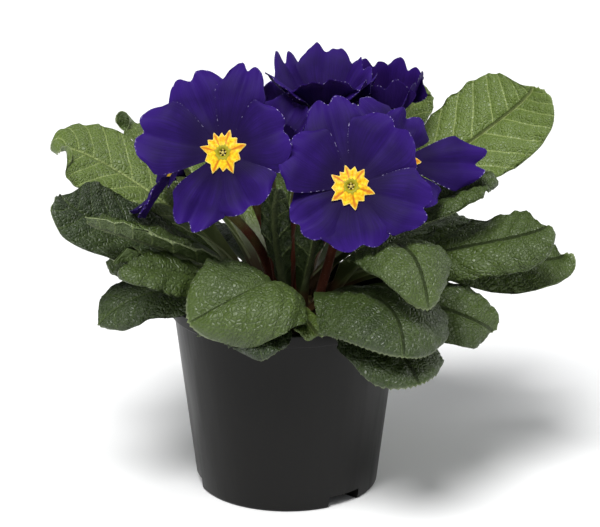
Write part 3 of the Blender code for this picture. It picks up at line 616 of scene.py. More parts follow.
def downy(roots, dice):
    """Short tapered hairs on points of a surface; roots are (point, way out of the surface)."""
    down = bmesh.new()
    pale = down.verts.layers.float.new("rim")
    for point, way in roots:
        bend = Vector([dice.uniform(-0.5, 0.5) for _ in range(3)])
        stand = (way + bend).normalized()
        length = DOWN_LENGTH * dice.uniform(0.5, 1.2)
        place = Matrix.Translation(point + stand * length * 0.35) @ stand.to_track_quat("Z", "Y").to_matrix().to_4x4()
        hair = bmesh.ops.create_cone(
            down, cap_ends=True, segments=3, radius1=DOWN_RADIUS, radius2=0, depth=length, matrix=place
        )
        for vert in hair["verts"]:
            vert[pale] = 1
    return down


def joined(shape, other):
    """Adds another loose shape to a shape and frees it."""
    passing = bpy.data.meshes.new("passing")
    other.to_mesh(passing)
    other.free()
    shape.from_mesh(passing)
    bpy.data.meshes.remove(passing)


def build_leaf(leaf):
    controls = leaf_curve(leaf, exits[leaf.name])
    spots = [curve_point(controls, step / 40)[0] for step in range(41)]
    length = sum((b - a).length for a, b in zip(spots, spots[1:]))
    columns = 2 * max(7, round(0.62 * leaf.width * MM / MESH_STEP))
    rows = round((length * (1 - STEM_SHARE) / MESH_STEP) / (1 - STEM_ROWS) * 0.9)
    shape = bmesh.new()
    bmesh.ops.create_grid(shape, x_segments=columns, y_segments=rows, size=1)
    names = ("rib", "veins", "cells", "net", "blade", "rim", "under", "stem", "tone")
    layers = {name: shape.verts.layers.float.new(name) for name in names}
    order = shape.verts.layers.int.new("order")
    full = leaf.width * MM / 2
    normals, thick, places = {}, {}, {}
    dice = random.Random(leaf.name)
    for vert in shape.verts:
        flat = math.sin(math.pi / 2 * vert.co.x)
        row_share = (vert.co.y + 1) / 2
        end = WIDEST_SHARE + (1 - WIDEST_SHARE) * 0.998 * max(0.0, 1 - flat * flat) ** (1 / TIP_ROUNDNESS)
        if row_share < STEM_ROWS:
            share = STEM_SHARE * row_share / STEM_ROWS
        else:
            share = mix(STEM_SHARE, end, (row_share - STEM_ROWS) / (1 - STEM_ROWS))
        half = leaf_half_width(leaf, share)
        column_half = half if share < WIDEST_SHARE else full
        across = max(-1.0, min(1.0, flat * column_half / half))
        point, normal = leaf_point(leaf, controls, share, across)
        blade = smooth_step(0.18, 0.5, share) * min(1.0, 1.4 * half / full)
        x, y = across * half, share * length
        rib = math.exp(-((x / (0.9 * MM)) ** 2))
        veins, cells = vein_phases(leaf, x, y)
        net = net_depth(veins, cells)
        side_vein = math.exp(-((abs((veins + 0.5) % 1 - 0.5) * VEIN_PITCH / (0.8 * MM)) ** 2))
        swell = math.sin(math.pi * (veins % 1)) * smooth_step(0, 5 * MM, abs(x))
        height = PUCKER * (1 - max(net, side_vein)) * (1 - rib) + SWELL * swell - 0.6 * MM * rib
        height *= blade
        inward = min(1.0, (1 - abs(across)) * half / (1.6 * MM) + (end - share) * length / (3 * MM))
        frill = 0.5 * MM * math.sin(y / (1.5 * MM) + 3 * noise.noise((y * 90, across, leaf.width)))
        vert.co = point + normal * (height * inward + frill * blade * abs(across) ** 5)
        if row_share == 0:
            vert.co.z -= FOOT_DEPTH
        vert[layers["rib"]] = rib
        vert[layers["veins"]] = veins
        vert[layers["cells"]] = cells
        vert[layers["net"]] = net * blade
        vert[layers["blade"]] = blade
        vert[layers["stem"]] = 1 - smooth_step(0.12, 0.5, share)
        # Painted light and shade: the tone is partly the leaf's own paleness and partly how lit or shaded the leaf
        # lies.
        vert[layers["tone"]] = leaf.tone
        keel = math.exp(-((x / (1.3 * MM)) ** 2)) * (1 - 0.75 * share)
        body = mix(1.2 * MM, BLADE_THICKNESS, smooth_step(0.0, 0.35, share))
        thick[vert.index] = mix(RIM_THICKNESS, body + 0.5 * MM * side_vein * blade, min(1.0, inward)) + RIB_THICKNESS * keel
        normals[vert.index] = normal
        places[vert] = y - abs(x)
        vert[order] = vert.index
    margin = []
    for vert in shape.verts:
        if not vert.is_boundary:
            continue
        inner = [edge.other_vert(vert) for edge in vert.link_edges if not edge.is_boundary]
        if inner and vert[layers["stem"]] < 0.97:
            margin.append((vert, (vert.co - inner[0].co).normalized()))
    for vert, way in margin:
        vert[layers["rim"]] = 1
        jag = math.sin(2 * math.pi * places[vert] / TOOTH_PITCH) * TOOTH * dice.uniform(0.6, 1.5)
        vert.co += way * jag * (1 - vert[layers["stem"]])
    roots = [(vert.co.copy(), way) for vert, way in margin for _ in range(2)]
    under = bmesh.ops.extrude_face_region(shape, geom=shape.faces[:])
    for item in under["geom"]:
        if isinstance(item, bmesh.types.BMVert):
            item.co -= normals[item[order]] * thick[item[order]]
            item[layers["under"]] = 1
    bmesh.ops.recalc_face_normals(shape, faces=shape.faces)
    if shape.calc_volume(signed=True) < 0:
        bmesh.ops.reverse_faces(shape, faces=shape.faces)
    shape.verts.layers.int.remove(order)
    joined(shape, downy(roots, dice))
    return shape


leaf_finish = new_finish("primrose leaf")


def mark(finish, name):
    """A value that a piece's mesh carries at its points."""
    return add_node(finish, "Attribute", attribute_name=name).outputs["Fac"]


leaf_fine = grain(leaf_finish, 1500, 3.0)
leaf_patch = grain(leaf_finish, 45, 2.0)
leaf_veins, leaf_blade, leaf_net = [mark(leaf_finish, name) for name in ("veins", "blade", "net")]
leaf_side = worked(leaf_finish, "PINGPONG", leaf_veins, 0.5)
leaf_side = worked(leaf_finish, "MULTIPLY", leaf_side, VEIN_PITCH / MM)
leaf_along = worked(leaf_finish, "MULTIPLY", leaf_veins, VEIN_PITCH / VEIN_SLANT / CELL)
leaf_map = add_node(leaf_finish, "CombineXYZ", {0: leaf_along, 1: mark(leaf_finish, "cells"), 2: 0.0}).outputs[0]
leaf_mesh = add_node(leaf_finish, "TexVoronoi", {"Vector": leaf_map, "Scale": 2.1}, voronoi_dimensions="2D", feature="DISTANCE_TO_EDGE")
leaf_mesh = leaf_mesh.outputs["Distance"]
leaf_line = worked(leaf_finish, "MULTIPLY", ranged(leaf_finish, leaf_mesh, 0.02, 0.16, 1.0, 0.0), leaf_blade)
# How light the leaf is drawn, with a little random patchiness: partly its own paleness, partly painted light and shade.
leaf_tone_and_shade = worked(leaf_finish, "ADD", mark(leaf_finish, "tone"), ranged(leaf_finish, leaf_patch, 0.3, 0.7, -0.1, 0.1))
leaf_pale = ranged(leaf_finish, leaf_tone_and_shade, 0.5, 0.95)
leaf_top = mixed(leaf_finish, leaf_tone_and_shade, paint(30, 46, 14), paint(92, 112, 42))
# Painted shade: the sunk net of veins is drawn darker than the flesh between, as shade lying in its grooves.
leaf_net_shade = mixed(leaf_finish, leaf_tone_and_shade, paint(20, 31, 9), paint(78, 98, 36))
leaf_top = mixed(leaf_finish, worked(leaf_finish, "MULTIPLY", leaf_net, 0.55), leaf_top, leaf_net_shade)
leaf_mesh_colour = mixed(leaf_finish, leaf_pale, paint(46, 62, 26), paint(124, 140, 74))
leaf_top = mixed(leaf_finish, worked(leaf_finish, "MULTIPLY", leaf_line, 0.42), leaf_top, leaf_mesh_colour)
leaf_rib = mark(leaf_finish, "rib")
leaf_ribs = worked(leaf_finish, "MULTIPLY", ranged(leaf_finish, leaf_side, 0.10, 0.50, 0.55, 0.0), leaf_blade)
leaf_ribs = worked(leaf_finish, "MAXIMUM", ranged(leaf_finish, leaf_rib, 0.35, 0.95, 0.0, 0.75), leaf_ribs)
leaf_top = mixed(leaf_finish, leaf_ribs, leaf_top, mixed(leaf_finish, leaf_pale, paint(70, 86, 40), paint(158, 172, 104)))
leaf_back = mixed(leaf_finish, leaf_tone_and_shade, paint(40, 55, 24), paint(92, 112, 58))
leaf_back = mixed(leaf_finish, worked(leaf_finish, "MULTIPLY", leaf_net, 0.3), leaf_back, paint(112, 128, 78))
leaf_back = mixed(leaf_finish, leaf_ribs, leaf_back, paint(136, 150, 96))
leaf_colour = mixed(leaf_finish, mark(leaf_finish, "under"), leaf_top, leaf_back)
leaf_fleck = ranged(leaf_finish, leaf_fine, 0.45, 0.75, 0.0, 0.14)
leaf_colour = mixed(leaf_finish, leaf_fleck, leaf_colour, paint(132, 148, 104))
# The stems are drawn dark green: their own colour, made darker as painted shade among the crowded stems in the middle
# of the rosette.
leaf_stem_shaded = ranged(leaf_finish, mark(leaf_finish, "stem"), 0.2, 1.0, 0.0, 0.8)
leaf_colour = mixed(leaf_finish, leaf_stem_shaded, leaf_colour, mixed(leaf_finish, leaf_tone_and_shade, paint(38, 46, 18), paint(84, 90, 42)))
leaf_base = ranged(leaf_finish, mark(leaf_finish, "stem"), 0.85, 1.0, 0.0, 0.6)
leaf_colour = mixed(leaf_finish, leaf_base, leaf_colour, paint(84, 40, 28))
leaf_rim = ranged(leaf_finish, mark(leaf_finish, "rim"), 0.35, 1.0, 0.0, 0.6)
leaf_colour = mixed(leaf_finish, leaf_rim, leaf_colour, mixed(leaf_finish, leaf_tone_and_shade, paint(112, 124, 86), paint(168, 178, 132)))
leaf_relief = worked(leaf_finish, "MULTIPLY", ranged(leaf_finish, leaf_mesh, 0.0, 0.3), leaf_blade)
leaf_relief = worked(leaf_finish, "ADD", leaf_relief, worked(leaf_finish, "MULTIPLY", leaf_fine, 0.35))
shader_of(
    leaf_finish,
    {
        "Base Color": leaf_colour,
        "Roughness": ranged(leaf_finish, leaf_fine, 0.3, 0.7, 0.38, 0.52),
        "Specular IOR Level": 0.5,
        "Normal": bumped(leaf_finish, leaf_relief, 0.26 * MM, 1.0),
    },
)
for leaf in LEAVES:
    blade_piece = add_piece(leaf.name + ".blade", build_leaf(leaf), leaf_finish, 75)
    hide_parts(leaf.name)
    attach(blade_piece, "root")

# Stalks. A round, downy flower stalk, red-brown at its foot and green under the bloom, which swells into a
# ribbed calyx: a pale cup with five pointed teeth that holds the bloom's tube.
# centre is the middle of the bloom's face in millimetres; heading and rise are where the face looks.
Bloom = namedtuple("Bloom", "name centre heading rise lean")
BLOOMS = (
    Bloom("bloom_left", (-23, -36, 143), -98, 22, 0),
    Bloom("bloom_right", (23.5, -42, 132), -88, 28, 16),
    Bloom("bloom_top", (14, 13, 148.5), -92, 96, 0),
    Bloom("bloom_middle", (-6, -8, 141), -90, 76, 0),
    Bloom("bloom_back_right", (38.5, 29, 144.5), -70, 82, 0),
    Bloom("bloom_far_right", (42, -15, 134), -60, 38, 0),
    Bloom("bloom_far_left", (-42, -10, 128), 172, 36, 0),
    Bloom("bloom_back", (4, 48, 130), 92, 36, 0),
)
STALK_RADIUS = 1.8 * MM
STALK_SIDES = 30
STALK_RINGS = 48
CALYX_BASE = -14.5 * MM
# height along the bloom's axis, radius, how far the ribs stand out, how far the teeth rise, all in millimetres
CALYX_RINGS = (
    (-14.5, 1.8, 0.0, 0.0),
    (-13.9, 2.2, 0.05, 0.0),
    (-13.0, 2.75, 0.12, 0.0),
    (-11.8, 3.1, 0.2, 0.0),
    (-10.0, 3.3, 0.28, 0.0),
    (-8.0, 3.4, 0.32, 0.0),
    (-6.4, 3.4, 0.34, 0.1),
    (-5.0, 3.45, 0.36, 0.6),
    (-3.9, 3.6, 0.36, 1.2),
    (-3.2, 3.8, 0.34, 1.7),
    (-3.1, 3.62, 0.34, 1.7),
    (-4.0, 3.25, 0.34, 1.0),
    (-5.2, 3.0, 0.3, 0.4),
    (-7.0, 2.6, 0.1, 0.0),
    (-9.1, 2.05, 0.0, 0.0),
)


def bloom_frame(bloom):
    """The bloom's own axes: X to the right as seen from the front, Y up the face and Z out of it."""
    heading = math.radians(bloom.heading)
    rise = math.radians(bloom.rise)
    face = Vector((math.cos(heading) * math.cos(rise), math.sin(heading) * math.cos(rise), math.sin(rise)))
    right = Vector((-math.sin(heading), math.cos(heading), 0))
    turn = Matrix((right, face.cross(right), face)).transposed().to_4x4()
    return Matrix.Translation(Vector(bloom.centre) * MM) @ turn


def wrapped(sides, rings, place):
    """A closed tube: place gives the point at a share of a turn and a ring's number."""
    shape = bmesh.new()
    bmesh.ops.create_grid(shape, x_segments=sides, y_segments=rings, size=1)
    spots = {}
    for vert in shape.verts:
        step = round((vert.co.x + 1) / 2 * sides) % sides
        ring = round((vert.co.y + 1) / 2 * rings)
        spots[vert] = (step, ring)
        vert.co = place(step / sides, ring)
    ends = [edge for edge in shape.edges if edge.is_boundary and spots[edge.verts[0]][1] == spots[edge.verts[1]][1]]
    bmesh.ops.remove_doubles(shape, verts=[vert for vert in shape.verts if spots[vert][0] == 0], dist=0.001 * MM)
    bmesh.ops.holes_fill(shape, edges=[edge for edge in ends if edge.is_valid], sides=0)
    bmesh.ops.recalc_face_normals(shape, faces=shape.faces)
    return shape


def build_stalk(bloom):
    own = bloom_frame(bloom)
    foot = exits[bloom.name]
    base = own @ Vector((0, 0, CALYX_BASE))
    face = own.to_3x3() @ Vector((0, 0, 1))
    right = own.to_3x3() @ Vector((1, 0, 0))
    reach = (base - foot).length
    lean = math.radians(bloom.lean)
    rise = polar(STALK_FEET[bloom.name][0], math.sin(lean), math.cos(lean))
    controls = (foot, foot + rise * 0.4 * reach, base - face * 0.3 * reach, base)
    down = Vector((0, 0, FOOT_DEPTH))

    def place(turn, ring):
        angle = 2 * math.pi * turn
        if ring >= STALK_RINGS:
            height, radius, rib, tooth = CALYX_RINGS[ring - STALK_RINGS]
            ribbed = radius + rib * math.cos(5 * angle)
            raised = height + tooth * (2 * abs(1 - (turn * 5 * 2 % 2)) - 1)
            return own @ Vector((ribbed * MM * math.cos(angle), ribbed * MM * math.sin(angle), raised * MM))
        share = max(0.0, (ring - 1) / (STALK_RINGS - 1))
        point, along = curve_point(controls, share)
        side = (right - along * right.dot(along)).normalized()
        up = along.cross(side)
        lumpy = 1 + 0.05 * math.cos(3 * angle + share * 4) + 0.08 * noise.noise(point * 220)
        spot = point + (side * math.cos(angle) + up * math.sin(angle)) * STALK_RADIUS * lumpy
        return spot - down if ring == 0 else spot

    shape = wrapped(STALK_SIDES, STALK_RINGS + len(CALYX_RINGS) - 1, place)
    height_mark, calyx_mark = [shape.verts.layers.float.new(name) for name in ("height", "calyx")]
    inverse = own.inverted()
    for vert in shape.verts:
        flower_height = (inverse @ vert.co).z
        near_bloom = (inverse @ vert.co).xy.length < 5 * MM
        vert[calyx_mark] = smooth_step(CALYX_BASE - 1 * MM, CALYX_BASE + 2 * MM, flower_height) if near_bloom else 0
        vert[height_mark] = smooth_step(foot.z, base.z, vert.co.z)
    dice = random.Random(bloom.name)
    skin = [face for face in shape.faces if len(face.verts) == 4]
    roots = [(face.calc_center_median(), face.normal.copy()) for face in dice.sample(skin, 420)]
    joined(shape, downy(roots, dice))
    return shape


stalk_finish = new_finish("downy stalk")
stalk_streak = grain(stalk_finish, 700, 3.0, stretch=(1, 1, 0.08))
stalk_cloud = grain(stalk_finish, 120, 3.0)
stalk_red = mixed(stalk_finish, stalk_streak, paint(70, 32, 22), paint(132, 66, 44))
stalk_green = mixed(stalk_finish, stalk_streak, paint(84, 92, 42), paint(128, 132, 72))
stalk_up = worked(stalk_finish, "ADD", mark(stalk_finish, "height"), ranged(stalk_finish, stalk_cloud, 0.3, 0.7, -0.2, 0.2))
stalk_colour = mixed(stalk_finish, ranged(stalk_finish, stalk_up, 0.55, 1.05, 0.0, 0.8), stalk_red, stalk_green)
calyx_green = mixed(stalk_finish, stalk_streak, paint(92, 110, 56), paint(146, 158, 92))
stalk_colour = mixed(stalk_finish, mark(stalk_finish, "calyx"), stalk_colour, calyx_green)
stalk_colour = mixed(stalk_finish, worked(stalk_finish, "MULTIPLY", mark(stalk_finish, "rim"), 0.6), stalk_colour, paint(196, 190, 168))
shader_of(
    stalk_finish,
    {
        "Base Color": stalk_colour,
        "Roughness": 0.55,
        "Specular IOR Level": 0.3,
        "Sheen Weight": 0.2,
        "Sheen Tint": paint(235, 225, 210),
        "Normal": bumped(stalk_finish, stalk_streak, 0.15 * MM, 0.8),
    },
)
for bloom in BLOOMS:
    stalk = add_piece(bloom.name + ".stalk", build_stalk(bloom), stalk_finish, 60)
    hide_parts(bloom.name + "_stalk")
    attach(stalk, "root")

# Petals. Five or six broad, velvety petals of deep blue violet that overlap round a short tube. Each is
# notched in the middle of its rim, frilled, finely streaked along its length and edged with pale specks.
# angle turns round the face in degrees, length and width are in millimetres, lift raises a petal and twist
# its anticlockwise edge. cup is how far they stand up, and press (towards, more) where neighbours press them.
Petal = namedtuple("Petal", "angle length width lift twist")
Corolla = namedtuple("Corolla", "cup press seed petals")


def even_petals(count, spin, length, width):
    """Petals spaced evenly, each lying over the next one round."""
    return tuple(Petal(spin + 360 / count * i, length, width, 0.0, 1.3) for i in range(count))


LEFT_PETALS = (
    Petal(76, 34, 19, 0.5, 0.3),
    Petal(22, 26, 28, 1.6, 0.5),
    Petal(-60, 24, 28, 0.4, 1.0),
    Petal(-114, 31, 22, -1.0, 0.9),
    Petal(168, 33, 28, 0.8, 0.4),
    Petal(118, 32, 28, -0.8, 0.0),
)
RIGHT_PETALS = (
    Petal(148, 28, 27, 1.0, 0.4),
    Petal(104, 35, 24, -0.9, 0.0),
    Petal(52, 30, 30, 0.2, 0.9),
    Petal(-18, 30, 26, 1.4, 0.6),
    Petal(-80, 24, 29, 0.0, 0.9),
    Petal(-144, 25, 23, -1.2, 0.9),
)
FAR_RIGHT_PETALS = (
    Petal(-16, 33, 21, 1.0, 0.8),
    Petal(60, 20, 22, 0.0, 0.9),
    Petal(112, 28, 24, -0.5, 0.9),
    Petal(190, 19, 22, 0.0, 0.9),
    Petal(270, 22, 24, 0.5, 0.9),
)
TOP_PETALS = (
    Petal(90, 29, 25, 0.6, 0.3),
    Petal(30, 26, 24, 0.0, 1.2),
    Petal(-30, 25, 24, 0.0, 1.2),
    Petal(-90, 26, 27, 0.8, 0.6),
    Petal(-152, 28, 25, 0.0, -1.0),
    Petal(148, 28, 25, 0.0, 1.0),
)
COROLLAS = {
    "bloom_left": Corolla(4, (0, 0), 1, LEFT_PETALS),
    "bloom_right": Corolla(4, (0, 0), 2, RIGHT_PETALS),
    "bloom_top": Corolla(42, (90, 30), 3, TOP_PETALS),
    "bloom_middle": Corolla(50, (-90, 18), 4, even_petals(5, -90, 20, 23)),
    "bloom_back_right": Corolla(74, (190, 8), 5, even_petals(5, 100, 21, 23)),
    "bloom_far_right": Corolla(10, (0, 0), 6, FAR_RIGHT_PETALS),
    "bloom_far_left": Corolla(12, (0, 0), 7, even_petals(5, 40, 24, 25)),
    "bloom_back": Corolla(10, (0, 0), 8, even_petals(5, 0, 26, 27)),
}
PETAL_ROOT = 4.0 * MM
PETAL_THICKNESS = 0.3 * MM
HUB_RADIUS = 8.6 * MM
PETAL_COLUMNS = 40
PETAL_ROWS = 30
PETAL_DROOP = 1.5 * MM
PETAL_ROLL = 0.9 * MM
LIFT_GAIN = 1.6
TWIST_GAIN = 1.7


def petal_point(corolla, petal, share, across):
    """A point of the petal's upper face, in the bloom's own axes."""
    seed = corolla.seed * 31 + round(petal.angle)
    notch = 0.10 * math.exp(-((across / 0.20) ** 2)) * share**5
    round_off = 0.20 * abs(across) ** 2.6 * share**2 + 0.10 * across**8 * share**3
    ragged = 0.030 * noise.noise((across * 1.7, seed * 1.7, 2.0)) + 0.006 * noise.noise((across * 8, seed * 1.7, 7.0))
    reach = (petal.length * MM - PETAL_ROOT) * share
    radius = PETAL_ROOT + reach * (1 - notch - round_off + ragged * share**4)
    widened = math.sin(math.pi / 2 * min(1.0, share / 0.72)) ** 1.2
    half = petal.width * MM / 2 * mix(0.28, 1.0, widened) * (1 - 0.18 * smooth_step(0.7, 1.0, share))
    grown = smooth_step(0.0, 0.75, share)
    phase = random.Random(seed).uniform(0, 2 * math.pi)
    calm = 1 - 0.65 * smooth_step(25, 70, corolla.cup)
    ripple = 1.2 * MM * math.sin(2.0 * math.pi * across + phase) * share**3 * calm
    frill = 0.18 * MM * math.sin(6.5 * math.pi * across + 2 * phase) * share**7 * calm
    groove = -0.8 * MM * math.exp(-((across / 0.20) ** 2)) * grown
    pillow = 0.9 * MM * math.sin(math.pi * min(1.0, abs(across) * 1.1)) * grown
    droop = -PETAL_DROOP * (0.4 + 0.6 * math.sin(phase)) * smooth_step(0.6, 1.0, share) * calm
    droop -= PETAL_ROLL * across**4 * grown * calm
    crease = 1.6 * MM * noise.noise((across * 1.3, share * 1.9, seed * 0.9)) * grown * calm
    crease += 0.10 * MM * noise.noise((across * 9, share * 1.2, seed * 0.9)) * grown
    pressed = max(0.0, math.cos(math.radians(petal.angle - corolla.press[0])))
    cup = math.radians(corolla.cup + corolla.press[1] * pressed)
    free = max(0.0, radius - HUB_RADIUS)
    drawn = radius - free * (1 - math.cos(cup))
    height = free * math.sin(cup) + (petal.lift * LIFT_GAIN + petal.twist * TWIST_GAIN * across) * MM * grown
    height += ripple + frill + groove + pillow + droop + crease
    flat = Matrix.Rotation(math.radians(petal.angle), 3, "Z") @ Vector((drawn, across * half, 0))
    return Vector((flat.x, flat.y, height - 0.1 * MM))


def build_petals(corolla):
    tube_profile = [(0, -8.5), (1.6, -8.5), (1.7, -6), (1.9, -4), (2.5, -2.6), (3.6, -1.6), (5.4, -0.9), (6.2, -0.7)]
    tube_profile += [(6.2, -0.45), (4.0, -0.3), (0, -0.3)]
    shape = spun([(radius * MM, height * MM) for radius, height in tube_profile], 40)
    names = ("across", "share", "rim", "under", "seed")
    layers = {name: shape.verts.layers.float.new(name) for name in names}
    for vert in shape.verts:
        vert[layers["under"]] = 1
    for number, petal in enumerate(corolla.petals):
        blade = bmesh.new()
        bmesh.ops.create_grid(blade, x_segments=PETAL_COLUMNS, y_segments=PETAL_ROWS, size=1)
        marks = {name: blade.verts.layers.float.new(name) for name in names}
        sink = Vector((0, 0, 0.02 * MM * number))
        for vert in blade.verts:
            across = math.sin(math.pi / 2 * vert.co.x) * 0.35 + vert.co.x * 0.65
            share = ((vert.co.y + 1) / 2) ** 1.15
            edge = max(abs(across), share) if share > 0.15 else 0
            vert[marks["across"]] = across
            vert[marks["share"]] = share
            vert[marks["rim"]] = smooth_step(0.93, 1.0, edge)
            vert[marks["seed"]] = corolla.seed + number * 0.37
            vert.co = petal_point(corolla, petal, share, across) - sink
        under = bmesh.ops.extrude_face_region(blade, geom=blade.faces[:])
        for item in under["geom"]:
            if isinstance(item, bmesh.types.BMVert):
                item.co.z -= PETAL_THICKNESS
                item[marks["under"]] = 1
        bmesh.ops.recalc_face_normals(blade, faces=blade.faces)
        if blade.calc_volume(signed=True) < 0:
            bmesh.ops.reverse_faces(blade, faces=blade.faces)
        joined(shape, blade)
    return shape


petal_finish = new_finish("violet velvet")
petal_parts = [mark(petal_finish, name) for name in ("across", "share", "seed")]
petal_map = add_node(petal_finish, "CombineXYZ", {0: petal_parts[0], 1: petal_parts[1], 2: petal_parts[2]}).outputs[0]
petal_streak = grain(petal_finish, 1.0, 4.0, stretch=(30, 1.5, 9), source=petal_map)
petal_cloud = grain(petal_finish, 110, 3.0)
petal_nap = grain(petal_finish, 2400, 2.0)
petal_colour = mixed(petal_finish, ranged(petal_finish, petal_streak, 0.3, 0.7), paint(31, 11, 76), paint(40, 17, 94))
petal_shade = ranged(petal_finish, petal_cloud, 0.35, 0.65, 0.0, 0.55)
petal_colour = mixed(petal_finish, petal_shade, petal_colour, paint(24, 8, 60))
# Lighter toward the rim. Toward the root the colour is darkened: painted shade where the petals overlap and fold round
# the eye.
petal_colour = mixed(petal_finish, ranged(petal_finish, petal_parts[1], 0.6, 1.0, 0.0, 0.6), petal_colour, paint(52, 24, 118))
petal_colour = mixed(petal_finish, ranged(petal_finish, petal_parts[1], 0.55, 0.2, 0.0, 0.75), petal_colour, paint(18, 5, 46))
petal_back = mixed(petal_finish, petal_streak, paint(38, 18, 84), paint(60, 34, 120))
petal_colour = mixed(petal_finish, worked(petal_finish, "MULTIPLY", mark(petal_finish, "under"), 0.7), petal_colour, petal_back)
petal_speck = ranged(petal_finish, grain(petal_finish, 1300, 2.0), 0.56, 0.66)
petal_speck = worked(petal_finish, "MULTIPLY", petal_speck, ranged(petal_finish, mark(petal_finish, "rim"), 0.6, 1.0, 0.0, 0.8))
petal_colour = mixed(petal_finish, petal_speck, petal_colour, paint(186, 176, 220))
petal_relief = worked(petal_finish, "ADD", petal_streak, worked(petal_finish, "MULTIPLY", petal_nap, 0.25))
shader_of(
    petal_finish,
    {
        "Base Color": petal_colour,
        "Roughness": 0.6,
        "Specular IOR Level": 0.1,
        "Sheen Weight": 0.03,
        "Sheen Roughness": 0.4,
        "Sheen Tint": paint(120, 80, 230),
        "Normal": bumped(petal_finish, petal_relief, 0.16 * MM, 0.8),
    },
)
for bloom in BLOOMS:
    petals_shape = build_petals(COROLLAS[bloom.name])
    bmesh.ops.transform(petals_shape, matrix=bloom_frame(bloom), verts=petals_shape.verts)
    petals_piece = add_piece(bloom.name + ".petals", petals_shape, petal_finish, 70)
    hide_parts(bloom.name + "_petals")
    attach(petals_piece, "root")

# Eyes. The yellow star in the middle of each bloom, with two points and an orange streak to every petal, a
# thin cream outline, and a green-gold throat that holds five anthers round the knob of the pistil.
EYE_POINT = 8.7
EYE_VALLEY = 5.9
EYE_GAP = 7.3
EYE_STEPS = 120
EYE_RINGS = 16
# share of the star's radius and height above the petals, in millimetres, from its middle to its outline
EYE_HEIGHTS = ((0.0, -1.2), (0.12, -1.0), (0.19, 0.5), (0.26, 1.3), (0.34, 1.5), (0.44, 1.1), (0.62, 0.9), (0.92, 0.74), (1.0, 0.5))


def eye_shares(petals, degrees):
    """Where a direction lies between the middle of its petal, 0, and the gap beside it, 1."""
    apart = sorted(abs((degrees - petal.angle + 180) % 360 - 180) for petal in petals)
    return 2 * apart[0] / (apart[0] + apart[1]) if apart[0] + apart[1] > 0 else 0.0


def eye_radius(share, degrees, seed):
    uneven = 1 + 0.13 * noise.noise((degrees * 0.035, seed * 3.1, 0.5))
    if share < 0.5:
        return mix(EYE_VALLEY, EYE_POINT, (1 - share / 0.5) ** 1.25) * uneven
    return mix(EYE_VALLEY, EYE_GAP, (share / 0.5 - 1) ** 1.4) * uneven


def eye_height(share):
    for (low, low_height), (high, high_height) in zip(EYE_HEIGHTS, EYE_HEIGHTS[1:]):
        if share <= high:
            return mix(low_height, high_height, smooth_step(low, high, share))
    return EYE_HEIGHTS[-1][1]


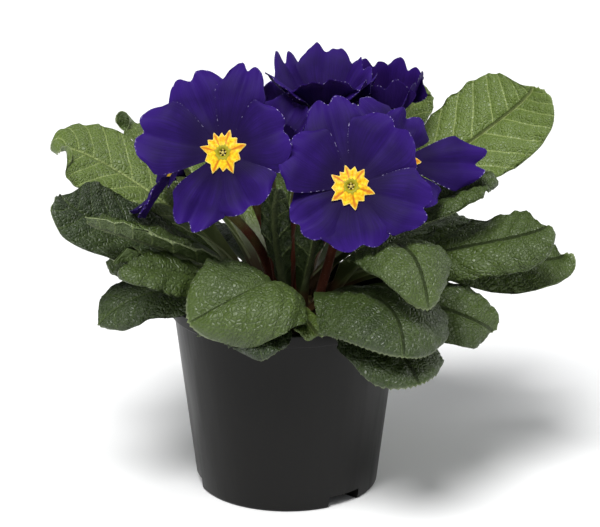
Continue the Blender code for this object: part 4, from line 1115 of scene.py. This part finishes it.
def build_eye(corolla):
    shape = bmesh.new()
    names = ("streak", "out", "anther")
    bmesh.ops.create_grid(shape, x_segments=EYE_STEPS, y_segments=EYE_RINGS, size=1)
    streak_mark, out_mark, anther_mark = [shape.verts.layers.float.new(name) for name in names]
    for vert in shape.verts:
        step = round((vert.co.x + 1) / 2 * EYE_STEPS) % EYE_STEPS
        out = ((vert.co.y + 1) / 2) ** 0.85
        degrees = 360 * step / EYE_STEPS
        share = eye_shares(corolla.petals, degrees)
        throat = smooth_step(0.25, 0.5, out)
        radius = out * mix(7.2, eye_radius(share, degrees, corolla.seed), throat)
        vert[streak_mark] = share
        vert[out_mark] = out
        fluted = 0.16 * math.cos(math.pi * 2 * share) * smooth_step(0.3, 0.6, out)
        vert.co = polar(degrees, radius * MM, (eye_height(out) - fluted) * MM)
    bmesh.ops.remove_doubles(shape, verts=shape.verts, dist=0.002 * MM)
    under = bmesh.ops.extrude_face_region(shape, geom=shape.faces[:])
    for item in under["geom"]:
        if isinstance(item, bmesh.types.BMVert):
            item.co.z = min(item.co.z - 0.3 * MM, -0.15 * MM)
    bmesh.ops.recalc_face_normals(shape, faces=shape.faces)
    if shape.calc_volume(signed=True) < 0:
        bmesh.ops.reverse_faces(shape, faces=shape.faces)
    for number in range(6):
        way = polar(72 * number + 20, 0.0 if number == 5 else 1.15 * MM, (0.55 if number == 5 else 0.15) * MM)
        size = Matrix.Diagonal((0.55 * MM, 0.38 * MM, 0.7 * MM, 1)) if number < 5 else Matrix.Scale(0.62 * MM, 4)
        turn = Matrix.Rotation(math.radians(72 * number + 20), 4, "Z")
        ball = bmesh.ops.create_icosphere(
            shape, subdivisions=2, radius=1, matrix=Matrix.Translation(way) @ turn @ size
        )
        for vert in ball["verts"]:
            vert[anther_mark] = 1
            vert[out_mark] = 0.2
    return shape


eye_finish = new_finish("primrose eye")
eye_share, eye_out = mark(eye_finish, "streak"), mark(eye_finish, "out")
eye_grain = grain(eye_finish, 900, 3.0)
eye_colour = mixed(eye_finish, ranged(eye_finish, eye_grain, 0.35, 0.65), paint(214, 152, 8), paint(246, 206, 30))
eye_wedge = worked(eye_finish, "MULTIPLY", ranged(eye_finish, eye_share, 0.26, 0.04), ranged(eye_finish, eye_out, 0.36, 0.46))
eye_wedge = worked(eye_finish, "MULTIPLY", eye_wedge, ranged(eye_finish, eye_out, 1.0, 0.84))
eye_colour = mixed(eye_finish, worked(eye_finish, "MULTIPLY", eye_wedge, 0.9), eye_colour, paint(186, 98, 6))
eye_colour = mixed(eye_finish, ranged(eye_finish, eye_out, 0.93, 1.0, 0.0, 0.7), eye_colour, paint(244, 226, 150))
eye_colour = mixed(eye_finish, ranged(eye_finish, eye_out, 0.46, 0.36), eye_colour, paint(154, 146, 24))
eye_colour = mixed(eye_finish, ranged(eye_finish, eye_out, 0.19, 0.10), eye_colour, paint(84, 72, 16))
eye_anther = mixed(eye_finish, eye_grain, paint(176, 150, 60), paint(222, 206, 120))
eye_colour = mixed(eye_finish, mark(eye_finish, "anther"), eye_colour, eye_anther)
shader_of(
    eye_finish,
    {
        "Base Color": eye_colour,
        "Roughness": 0.5,
        "Specular IOR Level": 0.25,
        "Normal": bumped(eye_finish, eye_grain, 0.15 * MM, 0.7),
    },
)
for bloom in BLOOMS:
    eye_shape = build_eye(COROLLAS[bloom.name])
    bmesh.ops.transform(eye_shape, matrix=bloom_frame(bloom), verts=eye_shape.verts)
    eye = add_piece(bloom.name + ".eye", eye_shape, eye_finish, 60)
    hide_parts(bloom.name + "_eye")
    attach(eye, "root")
